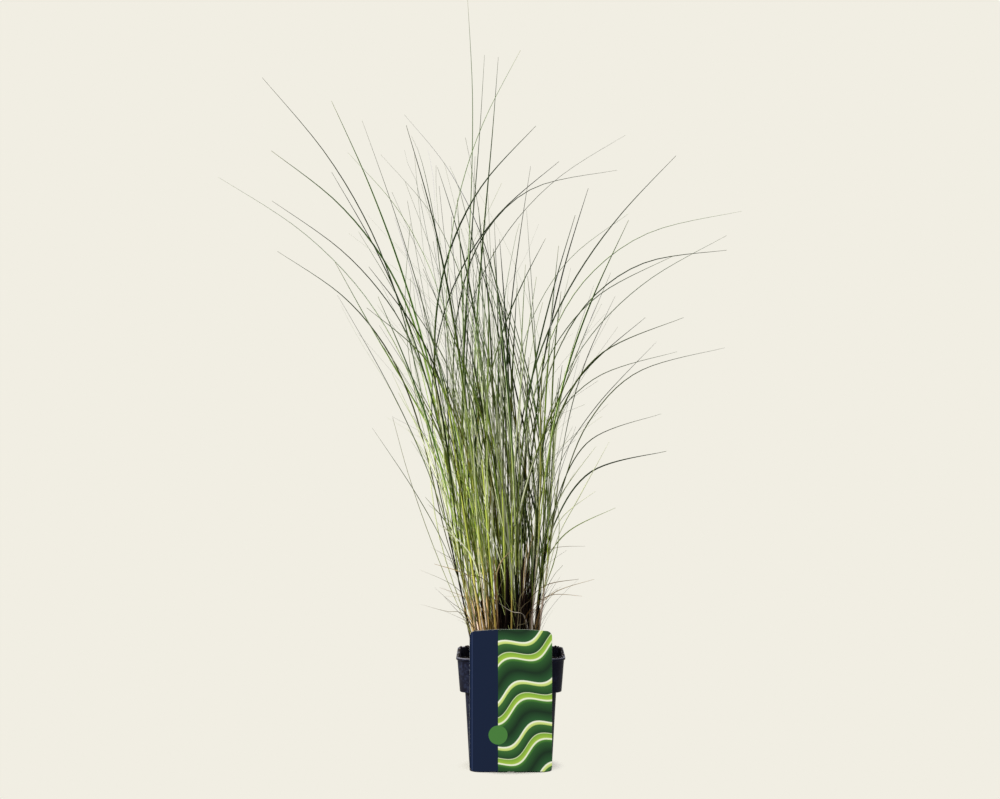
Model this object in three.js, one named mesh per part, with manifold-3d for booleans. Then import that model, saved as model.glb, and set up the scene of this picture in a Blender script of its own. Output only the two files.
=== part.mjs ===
// A clump of narrow-leaved maiden grass in a square nursery pot, with a card label hooked over its lip.
//
// The clump is made of leafy stems that stand in the potting mix. Each stem is a slim tapering tube of
// leaf sheaths, and its blades leave it one above another, alternately on two sides, and arch over.
// Millimetres, +Z up, the origin on the floor under the middle of the pot, the label facing -Y.

import * as THREE from "three";
import { mergeVertices } from "three/addons/utils/BufferGeometryUtils.js";
import Module from "manifold-3d";

const wasm = await Module();
wasm.setup();

// The pot: widths are across the flats of its rounded square, heights are above the floor.
const LIP_WIDTH = 110;
const COLLAR_TOP_WIDTH = 107.5;
const COLLAR_FOOT_WIDTH = 102.5;
const BODY_TOP_WIDTH = 92;
const BASE_WIDTH = 83;
const POT_HEIGHT = 116;
const LIP_DEPTH = 3;
const COLLAR_FOOT_Z = 80.5;
const WALL = 1.5;
const FLOOR = 2.4;
const CORNER_SHARE = 0.15;
const BASE_CHAMFER = 1.2;
const STEP_RISE = 0.5;
const DRAIN_RADIUS = 4;
const DRAIN_SIDES = 10;
const DRAIN_INSET = 11;
const GROOVE_DEPTH = 1;
const GROOVE_WIDTH = 7;

// The potting mix, and the gap that keeps one solid off its neighbour.
const SOIL_Z = 104;
const SOIL_CROWN = 2;
const HOLE_SLACK = 0.5;
const HOLE_SIDES = 6;
const GAP = 0.35;

// The label: a printed plastic card with a tongue that hooks over the lip.
const CARD_WIDTH = 82.5;
const CARD_BOTTOM_Z = 3.5;
const CARD_TOP_Z = 144;
const CARD_ARCH = 1.6;
const CARD_CORNER = 6;
const CARD_CORNER_STEPS = 5;
const CARD_THICK = 0.8;
const TONGUE_WIDTH = 24;
const TONGUE_FOOT_Z = 92;

// The clump.
const SEED = 20457;
const GREEN_STEMS = 46;
const DRY_STEMS = 6;
const GREEN_RISE = [110, 200];
const DRY_RISE = [50, 120];
const FOOT_CIRCLE = 31;
const FOOT_SHIFT = -4;
const STEM_RADIUS = 1.8;
const STEM_TIP_RADIUS = 0.9;
const STEM_SIDES = 5;
const ROOT_DEPTH = 3;
const LEAVING_LEAN = 6;
const LEAVING_HANDLE = 0.38;
const TIP_HANDLE = [0.36, 0.52];
const KEEL_DEPTH = 0.95;
const KEEL_TIP_DEPTH = 0.7;
const STEM_LEAN = 10;
const STEM_SWAY = 0.035;
const STEM_SHARE_IN_LEAVING = 1.5;
const FEWEST_STRETCHES = 3;
const MOST_STRETCHES = 7;
const LIP_MARGIN = 8;
const BURIED = 20;
const GOLDEN_ANGLE = 137.508;
const BLADES_ON_GREEN = 5;
const BLADES_ON_DRY = 4;
const SWAY = 0.11;
const FRONT_FLARE = 0.27;
const SIDE_FLARE = 0.42;
const STRETCH_LENGTH = 70;
const TRIES = 300;

// The eye of the front view, which the traced blades below were read from.
const EYE_DISTANCE = 2150;
const EYE_HEIGHT = 375;

const rad = THREE.MathUtils.degToRad;
const lerp = THREE.MathUtils.lerp;
const clamp = THREE.MathUtils.clamp;

// A repeatable number from 0 to 1 for a list of whole numbers.
function draw(...keys) {
  let h = SEED;
  for (const key of keys) {
    h = Math.imul(h ^ (key + 0x9e3779b9), 0x85ebca6b);
    h ^= h >>> 13;
    h = Math.imul(h, 0xc2b2ae35);
    h ^= h >>> 16;
  }
  return (h >>> 0) / 4294967296;
}

// A repeatable number from -1 to 1.
function spread(...keys) {
  return 2 * draw(...keys) - 1;
}

// Solids

// A closed surface through rings of points, each with the same number of points, from the first ring's
// cap to the last ring's. A ring of one point closes that end in a tip.
function skin(rings) {
  const points = [];
  const faces = [];
  const starts = rings.map((ring) => {
    const start = points.length;
    points.push(...ring);
    return start;
  });
  for (let i = 0; i + 1 < rings.length; i++) {
    const [a, b] = [starts[i], starts[i + 1]];
    const n = rings[i].length;
    for (let j = 0; j < n; j++) {
      const k = (j + 1) % n;
      if (rings[i + 1].length === 1) {
        faces.push(a + j, a + k, b);
      } else {
        faces.push(a + j, a + k, b + k, a + j, b + k, b + j);
      }
    }
  }
  const fan = (start, n, turned) => {
    for (let j = 1; j + 1 < n; j++) {
      faces.push(...(turned ? [start, start + j + 1, start + j] : [start, start + j, start + j + 1]));
    }
  };
  fan(starts[0], rings[0].length, true);
  fan(starts.at(-1), rings.at(-1).length, false);
  return new THREE.BufferGeometry().setFromPoints(points).setIndex(faces);
}

function solid(geometry) {
  const bare = new THREE.BufferGeometry()
    .setAttribute("position", geometry.getAttribute("position"))
    .setIndex(geometry.getIndex());
  const merged = mergeVertices(bare, 1e-4);
  return new wasm.Manifold(
    new wasm.Mesh({
      numProp: 3,
      vertProperties: new Float32Array(merged.getAttribute("position").array),
      triVerts: new Uint32Array(merged.getIndex().array),
    }),
  );
}

function node(name, manifold, material) {
  const { vertProperties, triVerts } = manifold.getMesh();
  const geometry = new THREE.BufferGeometry()
    .setAttribute("position", new THREE.BufferAttribute(vertProperties, 3))
    .setIndex(new THREE.BufferAttribute(triVerts, 1));
  geometry.computeVertexNormals();
  const mesh = new THREE.Mesh(geometry, material);
  mesh.name = name;
  return mesh;
}

function box(width, depth, height, x, y, z) {
  return solid(new THREE.BoxGeometry(width, depth, height).translate(x, y, z));
}

// The pot

// A rounded square, as points at one height.
function squareRing(width, z, cornerPoints = 4) {
  const half = width / 2;
  const corner = width * CORNER_SHARE;
  const ring = [];
  for (let quarter = 0; quarter < 4; quarter++) {
    const turn = rad(90 * quarter);
    for (let j = 0; j <= cornerPoints; j++) {
      const angle = turn + rad((90 * j) / cornerPoints);
      const x = Math.sign(Math.cos(turn + rad(45))) * (half - corner) + corner * Math.cos(angle);
      const y = Math.sign(Math.sin(turn + rad(45))) * (half - corner) + corner * Math.sin(angle);
      ring.push(new THREE.Vector3(x, y, z));
    }
  }
  return ring;
}

// A tapering block through levels of [width, height].
function squareLoft(levels) {
  return solid(skin(levels.map(([width, z]) => squareRing(width, z))));
}

// The width of the cavity at a height inside the body or the collar.
function cavityWidth(z) {
  const low = BASE_WIDTH - 2 * WALL;
  const high = BODY_TOP_WIDTH - 2 * WALL;
  if (z <= COLLAR_FOOT_Z) return lerp(low, high, z / COLLAR_FOOT_Z);
  const share = (z - COLLAR_FOOT_Z) / (POT_HEIGHT - COLLAR_FOOT_Z);
  return lerp(COLLAR_FOOT_WIDTH, COLLAR_TOP_WIDTH, share) - 2 * WALL;
}

function makePot() {
  const outside = squareLoft([
    [BASE_WIDTH - 2 * BASE_CHAMFER, 0],
    [BASE_WIDTH, BASE_CHAMFER],
    [BODY_TOP_WIDTH, COLLAR_FOOT_Z],
    [COLLAR_FOOT_WIDTH, COLLAR_FOOT_Z + STEP_RISE],
    [COLLAR_TOP_WIDTH, POT_HEIGHT - LIP_DEPTH],
    [LIP_WIDTH, POT_HEIGHT - LIP_DEPTH + STEP_RISE],
    [LIP_WIDTH, POT_HEIGHT],
  ]);
  const shoulder = COLLAR_FOOT_Z + 2 * WALL;
  const inside = squareLoft([
    [cavityWidth(FLOOR), FLOOR],
    [cavityWidth(COLLAR_FOOT_Z), COLLAR_FOOT_Z],
    [cavityWidth(shoulder), shoulder],
    [cavityWidth(POT_HEIGHT), POT_HEIGHT + 1],
  ]);
  return withDrains(outside.subtract(inside));
}

// The drain holes lie on a square, at its corners and in the middle of each side. From those in the
// middle of a side a groove runs out under the wall.
function withDrains(pot) {
  const reach = BASE_WIDTH / 2 - DRAIN_INSET;
  const grooveLength = DRAIN_INSET + 2 * WALL;
  let cut = pot;
  for (const i of [-1, 0, 1]) {
    for (const j of [-1, 0, 1]) {
      if (i === 0 && j === 0) continue;
      const drain = new THREE.CylinderGeometry(DRAIN_RADIUS, DRAIN_RADIUS, 4 * FLOOR, DRAIN_SIDES);
      cut = cut.subtract(solid(drain.rotateX(rad(90)).translate(i * reach, j * reach, 0)));
      if (i === 0 || j === 0) {
        const width = i === 0 ? GROOVE_WIDTH : grooveLength;
        const depth = j === 0 ? GROOVE_WIDTH : grooveLength;
        const out = reach + grooveLength / 2;
        cut = cut.subtract(box(width, depth, 2 * GROOVE_DEPTH, i * out, j * out, 0));
      }
    }
  }
  return cut;
}

// The label

function cardOutline() {
  const half = CARD_WIDTH / 2;
  const shape = new THREE.Shape();
  shape.moveTo(-half + CARD_CORNER, CARD_BOTTOM_Z);
  shape.lineTo(half - CARD_CORNER, CARD_BOTTOM_Z);
  shape.quadraticCurveTo(half, CARD_BOTTOM_Z, half, CARD_BOTTOM_Z + CARD_CORNER);
  shape.lineTo(half, CARD_TOP_Z - CARD_CORNER);
  shape.quadraticCurveTo(half, CARD_TOP_Z, half - CARD_CORNER, CARD_TOP_Z);
  shape.quadraticCurveTo(0, CARD_TOP_Z + 2 * CARD_ARCH, -half + CARD_CORNER, CARD_TOP_Z);
  shape.quadraticCurveTo(-half, CARD_TOP_Z, -half, CARD_TOP_Z - CARD_CORNER);
  shape.lineTo(-half, CARD_BOTTOM_Z + CARD_CORNER);
  shape.quadraticCurveTo(-half, CARD_BOTTOM_Z, -half + CARD_CORNER, CARD_BOTTOM_Z);
  return shape;
}

const CARD_BACK_Y = -LIP_WIDTH / 2 - GAP;
const TONGUE_Y = -cavityWidth(TONGUE_FOOT_Z) / 2 + GAP;
const TONGUE_TOP_Z = POT_HEIGHT + GAP + CARD_THICK;

function makeLabel() {
  const card = new THREE.ExtrudeGeometry(cardOutline(), {
    depth: CARD_THICK,
    bevelEnabled: false,
    curveSegments: CARD_CORNER_STEPS,
  });
  card.rotateX(rad(90)).translate(0, CARD_BACK_Y, 0);
  const over = TONGUE_Y + CARD_THICK - CARD_BACK_Y + CARD_THICK / 2;
  const bridge = box(
    TONGUE_WIDTH,
    over,
    CARD_THICK,
    0,
    TONGUE_Y + CARD_THICK - over / 2,
    TONGUE_TOP_Z - CARD_THICK / 2,
  );
  const drop = TONGUE_TOP_Z - TONGUE_FOOT_Z;
  const tongue = box(
    TONGUE_WIDTH,
    CARD_THICK,
    drop,
    0,
    TONGUE_Y + CARD_THICK / 2,
    TONGUE_FOOT_Z + drop / 2,
  );
  return solid(card).add(bridge).add(tongue);
}

// The clump

function polar(radius, degrees, z) {
  return new THREE.Vector3(radius * Math.cos(rad(degrees)), radius * Math.sin(rad(degrees)), z);
}

// A direction that leans from the vertical towards an azimuth.
function leaning(lean, azimuth) {
  return polar(Math.sin(rad(lean)), azimuth, Math.cos(rad(lean)));
}

// Stems stand on a spiral that fills the foot circle evenly, and lean out more towards its rim. The whole
// clump stands and leans a little to the left.
function makeStem(i) {
  const count = GREEN_STEMS + DRY_STEMS;
  const dry = i % 9 === 4 && i < 9 * DRY_STEMS;
  const share = Math.sqrt((i + 0.5) / count);
  const azimuth = GOLDEN_ANGLE * i + 3 * spread(i, 1);
  const foot = polar(FOOT_CIRCLE * share, azimuth, SOIL_Z);
  foot.x += FOOT_SHIFT;
  const lean = STEM_LEAN * share + spread(i, 2);
  const rise = lerp(...(dry ? DRY_RISE : GREEN_RISE), draw(i, 3)) * (1.1 - 0.2 * share);
  const way = leaning(lean, azimuth);
  way.x -= STEM_SWAY;
  way.normalize();
  return { i, dry, share, azimuth, foot, lean, rise, way, blades: [] };
}

function stemPoint(stem, share) {
  return stem.foot.clone().addScaledVector(stem.way, share * stem.rise);
}

function stemRadius(share) {
  return lerp(STEM_RADIUS, STEM_TIP_RADIUS, share);
}

// The lean from the vertical, in degrees, of the straight line between two points.
function chordLean(from, to) {
  return THREE.MathUtils.radToDeg(Math.atan2(Math.hypot(to.x - from.x, to.y - from.y), to.z - from.z));
}

function azimuthOf(from, to) {
  return THREE.MathUtils.radToDeg(Math.atan2(to.y - from.y, to.x - from.x));
}

// One blade: a curve from inside its stem to its tip, which starts along the stem, or at its own lean in
// the front view, and bends over. The flatter it ends, the later it bends. Its solid is straight between
// a few points of that curve.
function makeBlade(stem, height, tip, tipLean, halfWidth, faceTurn, twist, frontLean) {
  const root = stemPoint(stem, height).addScaledVector(stem.way, -ROOT_DEPTH);
  const azimuth = azimuthOf(root, tip);
  const chord = tip.distanceTo(root);
  const leave = leaning(LEAVING_LEAN, azimuth).addScaledVector(stem.way, STEM_SHARE_IN_LEAVING);
  if (frontLean !== undefined) {
    leave.x = leave.z * Math.tan(rad(frontLean));
  }
  leave.normalize();
  const tipHandle = lerp(...TIP_HANDLE, clamp(tipLean / 90, 0, 1));
  const path = new THREE.CubicBezierCurve3(
    root,
    root.clone().addScaledVector(leave, LEAVING_HANDLE * chord),
    tip.clone().addScaledVector(leaning(tipLean, azimuth), -tipHandle * chord),
    tip,
  );
  const steps = clamp(Math.round(chord / STRETCH_LENGTH), FEWEST_STRETCHES, MOST_STRETCHES);
  const points = path.getPoints(steps);
  const chain = points.map((at, j) => ({ at, radius: bladeBead(halfWidth, j / steps) }));
  return { path, steps, azimuth, halfWidth, faceTurn, twist, chain, bounds: boundsOf(chain) };
}

// The half width of a blade along its length: narrow at the sheath, widest before the middle, then a
// long fine point.
function bladeHalfWidth(halfWidth, t) {
  const swell = Math.min(1, 0.6 + 1.6 * t);
  const taper = Math.pow(1 - Math.pow(t, 2.2), 0.9);
  return halfWidth * swell * taper;
}

function bladeBead(halfWidth, t) {
  return Math.max(KEEL_DEPTH, bladeHalfWidth(halfWidth, t));
}

function boundsOf(chain) {
  return new THREE.Box3().setFromPoints(chain.map((bead) => bead.at)).expandByScalar(2 * STEM_RADIUS);
}

// Every stem and blade is also a chain of round beads, to keep each clear of the others.
const stems = Array.from({ length: GREEN_STEMS + DRY_STEMS }, (_, i) => makeStem(i));
const stemChains = stems.map((stem) => {
  const chain = [0, 1].map((share) => ({ at: stemPoint(stem, share), radius: stemRadius(share) }));
  return { stem, chain, bounds: boundsOf(chain) };
});

// The least distance between two straight stretches, and how far along each of them it lies.
function nearest(p0, p1, q0, q1) {
  const u = p1.clone().sub(p0);
  const v = q1.clone().sub(q0);
  const w = p0.clone().sub(q0);
  const [a, b, c, d, e] = [u.dot(u), u.dot(v), v.dot(v), u.dot(w), v.dot(w)];
  const det = a * c - b * b;
  let s = det > 1e-9 ? clamp((b * e - c * d) / det, 0, 1) : 0;
  const t = clamp((b * s + e) / c, 0, 1);
  s = clamp((b * t - d) / a, 0, 1);
  const gap = w.addScaledVector(u, s).addScaledVector(v, -t).length();
  return { gap, s, t };
}

// Two chains, each looked at from its own first stretch on, keep the gap between their beads.
function chainsClear(one, two, firstOne = 0, firstTwo = 0) {
  for (let i = firstOne; i + 1 < one.length; i++) {
    for (let j = firstTwo; j + 1 < two.length; j++) {
      const near = nearest(one[i].at, one[i + 1].at, two[j].at, two[j + 1].at);
      const radii =
        lerp(one[i].radius, one[i + 1].radius, near.s) + lerp(two[j].radius, two[j + 1].radius, near.t);
      if (near.gap < radii + GAP) return false;
    }
  }
  return true;
}

// A blade keeps off the label and the lip, off the other stems and their blades, and, past its first
// stretch, off its own stem and the blades there.
function isClear(stem, blade) {
  const nearPot = blade.chain.some(({ at }) => {
    const overLip = Math.max(Math.abs(at.x), Math.abs(at.y)) > LIP_WIDTH / 2 - LIP_MARGIN;
    const atLabel = at.y < LIP_MARGIN - LIP_WIDTH / 2 && at.z < CARD_TOP_Z + LIP_MARGIN;
    return (overLip && at.z < POT_HEIGHT + LIP_MARGIN) || atLabel;
  });
  if (nearPot) return false;
  const clearOf = (other, own) =>
    !other.bounds.intersectsBox(blade.bounds) ||
    (own
      ? chainsClear(blade.chain, other.chain, 1, 0) && chainsClear(blade.chain, other.chain, 0, 1)
      : chainsClear(blade.chain, other.chain));
  return (
    stemChains.every((other) => clearOf(other, other.stem === stem)) &&
    stems.every((other) => other.blades.every((grown) => clearOf(grown, other === stem)))
  );
}

// The first clear blade that a rule gives for a stem, if one of its tries is clear.
function grow(stem, rule) {
  for (let attempt = 0; attempt < TRIES; attempt++) {
    const blade = rule(attempt);
    if (isClear(stem, blade)) {
      stem.blades.push(blade);
      return;
    }
  }
}

// Blades read from the front view: [x of the tip, z of the tip, its depth, its lean, x of the foot, lean
// at the foot], in millimetres and degrees. A negative x is to the left, and so is a negative lean at the
// foot. A positive depth is behind the middle of the clump.
const TRACED_BLADES = [
  [-44, 785, 10, 5, -18, -10],
  [-300, 603, -30, 62, -36, -14],
  [-255, 705, -60, 44, -34, -16],
  [-245, 630, 70, 57, -36, -14],
  [-183, 681, 120, 26, -34, -14],
  [-153, 661, -150, 20, -24, -10],
  [-184, 608, -110, 32, -34, -14],
  [-166, 628, 150, 46, -18, -12],
  [-245, 578, -70, 60, -36, -14],
  [-239, 527, 60, 62, -36, -18],
  [-142, 346, -30, 34, -34, -18],
  [-178, 482, -100, 30, -34, -14],
  [-180, 517, 110, 28, -30, -12],
  [-100, 501, 150, 4, -24, -12],
  [-148, 469, -120, 60, -28, -14],
  [-134, 626, -170, 50, -10, -14],
  [-108, 667, 190, 42, 20, -6],
  [-108, 656, -200, 22, -20, -10],
  [-74, 613, 220, 0, -16, -8],
  [-27, 728, -90, 0, -26, -6],
  [-12, 726, 120, 4, -24, -4],
  [10, 733, -60, 34, -36, -14],
  [26, 656, -50, 52, -36, -14],
  [118, 646, 80, 62, -32, -8],
  [109, 610, -70, 92, -32, -8],
  [50, 619, 60, 54, -34, -14],
  [65, 564, -230, 36, -6, 0],
  [38, 540, 240, 30, -18, -4],
  [170, 625, 50, 46, 0, 0],
  [122, 564, 130, 60, -14, 0],
  [120, 559, -200, 20, 20, 4],
  [237, 568, -20, 86, 4, 4],
  [221, 543, -90, 66, 10, 4],
  [222, 528, 90, 90, 10, 6],
  [166, 522, -120, 72, 0, 6],
  [139, 459, 160, 54, 16, 6],
  [177, 459, -90, 80, 12, 6],
  [220, 428, 30, 86, 26, 13],
  [149, 434, -100, 44, 16, 8],
  [171, 424, 100, 84, 4, 6],
  [154, 361, -50, 86, 22, 4],
  [160, 322, 60, 92, 26, 6],
  [87, 281, -50, 64, 26, 12],
  [108, 264, 30, 74, 26, 10],
  [101, 332, -60, 24, 24, 6],
];
const LOW_TIP_Z = 400;
const LEVEL_LEAN = 85;
const EVEN_ARCH = 1.6;

// A tip in space, from where it shows in the front view and its depth.
function sightedTip(x, z, depth) {
  const scale = (EYE_DISTANCE + depth) / EYE_DISTANCE;
  return new THREE.Vector3(x * scale, depth, EYE_HEIGHT + (z - EYE_HEIGHT) * scale);
}

// A blade that heads towards the eye or away from it shows little of its lean, so one that heads mostly
// that way gets the lean of an even arch. A lean read as level or below it is kept.
function sightedLean(lean, from, to) {
  const sideways = Math.abs(Math.cos(rad(azimuthOf(from, to))));
  if (sideways < 0.5) return EVEN_ARCH * chordLean(from, to);
  const across = Math.tan(rad(Math.min(lean, LEVEL_LEAN))) / sideways;
  return THREE.MathUtils.radToDeg(Math.atan(across)) + Math.max(0, lean - LEVEL_LEAN);
}

function tracedBlade(stem, index, attempt) {
  const [x, z, depth, lean, , frontLean] = TRACED_BLADES[index];
  const key = [index, attempt, 900];
  const away = attempt / 6;
  const tip = sightedTip(
    x + away * spread(...key, 1),
    z + away * spread(...key, 2),
    depth + 8 * away * spread(...key, 3),
  );
  const height = lerp(0.5, 0.95, draw(...key, 4)) * (z < LOW_TIP_Z ? 0.6 : 1);
  const halfWidth = lerp(1, 1.35, draw(...key, 5));
  const tipLean = sightedLean(lean, stemPoint(stem, height), tip);
  const turns = [50 * spread(...key, 6), 70 * spread(...key, 7)];
  return makeBlade(stem, height, tip, tipLean, halfWidth, ...turns, frontLean);
}

const greenStems = stems.filter((stem) => !stem.dry);

TRACED_BLADES.forEach(([, z, depth, , footX], index) => {
  const footY = clamp(0.2 * depth, -FOOT_CIRCLE, FOOT_CIRCLE);
  const cost = (stem) =>
    Math.hypot(stem.foot.x - footX, stem.foot.y - footY) +
    9 * stem.blades.length +
    (z < LOW_TIP_Z && stem.share < 0.7 ? 30 : 0);
  const host = greenStems.reduce((best, stem) => (cost(stem) < cost(best) ? stem : best));
  grow(host, (attempt) => tracedBlade(host, index, attempt));
});

// The other blades follow a rule. They leave a stem on its outer and its inner side by turns. The lower
// they leave, the lower their tips end, and those on the outer side arch over further. The whole clump
// bends a little to the left, and is narrower from the front than from the side.
function ruledBlade(stem, k, attempt) {
  const key = [stem.i, k, attempt];
  const rank = (k + 0.5) / BLADES_ON_GREEN;
  const height = clamp(lerp(0.25, 1, rank) + 0.08 * spread(...key, 1), 0.15, 0.98);
  const inner = (k + stem.i) % 2;
  const azimuth = stem.azimuth + 180 * inner + 60 * spread(...key, 2);
  const rise = lerp(190, 410, rank) + 110 * spread(...key, 3);
  const outward = inner ? 0.4 : 0.6 + 0.6 * stem.share;
  const lean = lerp(5, 22, draw(...key, 4)) * outward + (inner ? 0.1 : 0.5) * stem.lean;
  const root = stemPoint(stem, height);
  const tipZ = Math.max(SOIL_Z + rise, root.z + 80);
  const tip = root.clone().add(polar((tipZ - root.z) * Math.tan(rad(lean)), azimuth, tipZ - root.z));
  tip.x -= SWAY * (tipZ - root.z);
  const width = FOOT_CIRCLE + 10 + FRONT_FLARE * (tipZ - SOIL_Z);
  const depth = FOOT_CIRCLE + 10 + SIDE_FLARE * (tipZ - SOIL_Z);
  const past = Math.max(1, Math.hypot(tip.x / width, tip.y / depth));
  tip.x /= past;
  tip.y /= past;
  const tipLean = (1.8 + 0.4 * spread(...key, 5)) * chordLean(root, tip);
  const halfWidth = lerp(0.95, 1.35, draw(...key, 6));
  return makeBlade(stem, height, tip, tipLean, halfWidth, 50 * spread(...key, 7), 70 * spread(...key, 8));
}

// Old dry blades are short, and hang out further.
function dryBlade(stem, k, attempt) {
  const key = [stem.i, k, attempt];
  const height = clamp((k + 0.8) / BLADES_ON_DRY, 0.15, 0.95);
  const azimuth = stem.azimuth + 75 * spread(...key, 2);
  const length = lerp(45, 110, draw(...key, 3));
  const lean = lerp(22, 62, draw(...key, 4));
  const tip = stemPoint(stem, height).addScaledVector(leaning(lean, azimuth), length);
  return makeBlade(stem, height, tip, 1.7 * lean, 0.9, 50 * spread(...key, 7), 40 * spread(...key, 8));
}

for (let k = 0; k < BLADES_ON_GREEN; k++) {
  for (const stem of stems) {
    if (!stem.dry) {
      grow(stem, (attempt) => ruledBlade(stem, k, attempt));
    } else if (k < BLADES_ON_DRY) {
      grow(stem, (attempt) => dryBlade(stem, k, attempt));
    }
  }
}

// A blade's solid has three edges: its two margins, and the midrib that stands out below.
function bladeSolid(blade) {
  const side = polar(1, blade.azimuth + 90, 0);
  const rings = [];
  for (let j = 0; j < blade.steps; j++) {
    const t = j / blade.steps;
    const at = blade.path.getPoint(t);
    const along = blade.path.getTangent(t);
    const across = side.clone().applyAxisAngle(along, rad(blade.faceTurn + blade.twist * t));
    const under = across.clone().cross(along);
    const half = bladeHalfWidth(blade.halfWidth, t);
    rings.push([
      at.clone().addScaledVector(across, half),
      at.clone().addScaledVector(across, -half),
      at.clone().addScaledVector(under, lerp(KEEL_DEPTH, KEEL_TIP_DEPTH, t)),
    ]);
  }
  rings.push([blade.path.getPoint(1)]);
  return solid(skin(rings));
}

function stemSolid(stem) {
  const first = new THREE.Vector3(0, 1, 0).cross(stem.way).normalize();
  const second = stem.way.clone().cross(first);
  const ringAt = (at, radius) =>
    Array.from({ length: STEM_SIDES }, (_, j) => {
      const angle = rad((360 * j) / STEM_SIDES);
      return at
        .clone()
        .addScaledVector(first, radius * Math.cos(angle))
        .addScaledVector(second, radius * Math.sin(angle));
    });
  return solid(
    skin([
      ringAt(stem.foot.clone().addScaledVector(stem.way, -BURIED), STEM_RADIUS),
      ringAt(stem.foot, STEM_RADIUS),
      ringAt(stemPoint(stem, 1), STEM_TIP_RADIUS),
    ]),
  );
}

function leafyStem(stem) {
  return wasm.Manifold.union([stemSolid(stem), ...stem.blades.map(bladeSolid)]);
}

// The potting mix, with a plain hole for each stem and a slot for the label's tongue.
function makeSoil() {
  const width = (z) => cavityWidth(z) - 2 * GAP;
  const shoulder = COLLAR_FOOT_Z + 2 * WALL;
  let soil = squareLoft([
    [width(FLOOR), FLOOR + GAP],
    [width(COLLAR_FOOT_Z), COLLAR_FOOT_Z + 2 * GAP],
    [width(shoulder), shoulder + 2 * GAP],
    [width(SOIL_Z - 1), SOIL_Z - 1],
    [width(SOIL_Z) - 10, SOIL_Z + 0.6 * SOIL_CROWN],
    [2 * FOOT_CIRCLE + 12, SOIL_Z + SOIL_CROWN],
  ]);
  const depth = BURIED + 1;
  const above = 3 * SOIL_CROWN;
  for (const stem of stems) {
    const radius = STEM_RADIUS + HOLE_SLACK;
    const hole = new THREE.CylinderGeometry(radius, radius, depth + above, HOLE_SIDES);
    const up = new THREE.Vector3(0, 1, 0);
    hole.translate(0, (above - depth) / 2, 0);
    hole.applyQuaternion(new THREE.Quaternion().setFromUnitVectors(up, stem.way));
    hole.translate(stem.foot.x, stem.foot.y, stem.foot.z);
    soil = soil.subtract(solid(hole));
  }
  const slotDepth = SOIL_Z + 5 * SOIL_CROWN - TONGUE_FOOT_Z;
  const slotWidth = CARD_THICK + 6;
  const slot = box(
    TONGUE_WIDTH + 2 * GAP,
    slotWidth,
    slotDepth + GAP,
    0,
    TONGUE_Y + CARD_THICK + GAP - slotWidth / 2,
    TONGUE_FOOT_Z + slotDepth / 2 - GAP / 2,
  );
  return soil.subtract(slot);
}

// The finishes

const potPlastic = new THREE.MeshStandardMaterial({ color: 0x1b1c20, roughness: 0.45, metalness: 0 });
const soilMix = new THREE.MeshStandardMaterial({ color: 0x2e2119, roughness: 0.95, metalness: 0 });
const labelCard = new THREE.MeshStandardMaterial({ color: 0x22355c, roughness: 0.35, metalness: 0 });
const greenLeaf = new THREE.MeshStandardMaterial({ color: 0x6f8a4c, roughness: 0.55, metalness: 0 });
const dryLeaf = new THREE.MeshStandardMaterial({ color: 0xa5834f, roughness: 0.8, metalness: 0 });

const plant = new THREE.Group();
plant.add(node("pot", makePot(), potPlastic));
plant.add(node("potting_mix", makeSoil(), soilMix));
plant.add(node("label_card", makeLabel(), labelCard));
let greenCount = 0;
let dryCount = 0;
for (const stem of stems) {
  const number = stem.dry ? (dryCount += 1) : (greenCount += 1);
  const name = (stem.dry ? "dry_stem_" : "leafy_stem_") + String(number).padStart(2, "0");
  plant.add(node(name, leafyStem(stem), stem.dry ? dryLeaf : greenLeaf));
}

export default plant;
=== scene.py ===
# %% [markdown]
# # A potted maiden grass
# A clump of a narrow-leaved, white-margined maiden grass stands in a square black nursery pot, with a
# picture card hooked over the lip. The frame brings the plain solids at their real size and place. The
# cells below read them, grow a finer piece over each one and give every surface its material. All sizes
# are in metres; MM turns a size in millimetres into one.

import math

import bmesh
import bpy
import numpy as np
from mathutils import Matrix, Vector, noise


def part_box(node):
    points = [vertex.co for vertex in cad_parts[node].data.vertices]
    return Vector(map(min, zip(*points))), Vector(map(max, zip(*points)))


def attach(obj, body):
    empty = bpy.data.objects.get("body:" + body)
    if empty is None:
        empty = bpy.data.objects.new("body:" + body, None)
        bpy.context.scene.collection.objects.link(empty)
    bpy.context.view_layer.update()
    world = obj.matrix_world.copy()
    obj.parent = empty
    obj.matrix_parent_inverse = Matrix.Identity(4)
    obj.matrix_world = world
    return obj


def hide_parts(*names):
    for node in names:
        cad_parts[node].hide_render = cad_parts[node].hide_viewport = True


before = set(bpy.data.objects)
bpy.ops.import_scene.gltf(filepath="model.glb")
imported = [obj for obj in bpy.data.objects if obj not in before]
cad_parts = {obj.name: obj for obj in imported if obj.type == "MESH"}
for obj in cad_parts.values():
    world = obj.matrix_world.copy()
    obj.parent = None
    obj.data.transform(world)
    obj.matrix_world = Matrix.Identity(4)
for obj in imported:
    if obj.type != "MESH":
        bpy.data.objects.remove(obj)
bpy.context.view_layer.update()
MM = 0.001
SEED = 20457

# %% [markdown]
# ## Helpers
# Colours are written as the hex values that a colour picker gives, which are sRGB. Blender's sockets want
# linear values, so one function turns them. Another adds a node to a tree, with its settings and links:
# an input given as a node takes that node's live output. The short ones after it name the nodes that
# every tree uses again and again.

# %% Colour and node helpers


def colour(code):
    """Linear RGBA of an sRGB hex colour such as "#48803e"."""
    shares = [int(code[i:i + 2], 16) / 255 for i in (1, 3, 5)]
    return (*(s / 12.92 if s <= 0.04045 else ((s + 0.055) / 1.055) ** 2.4 for s in shares), 1)


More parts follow.
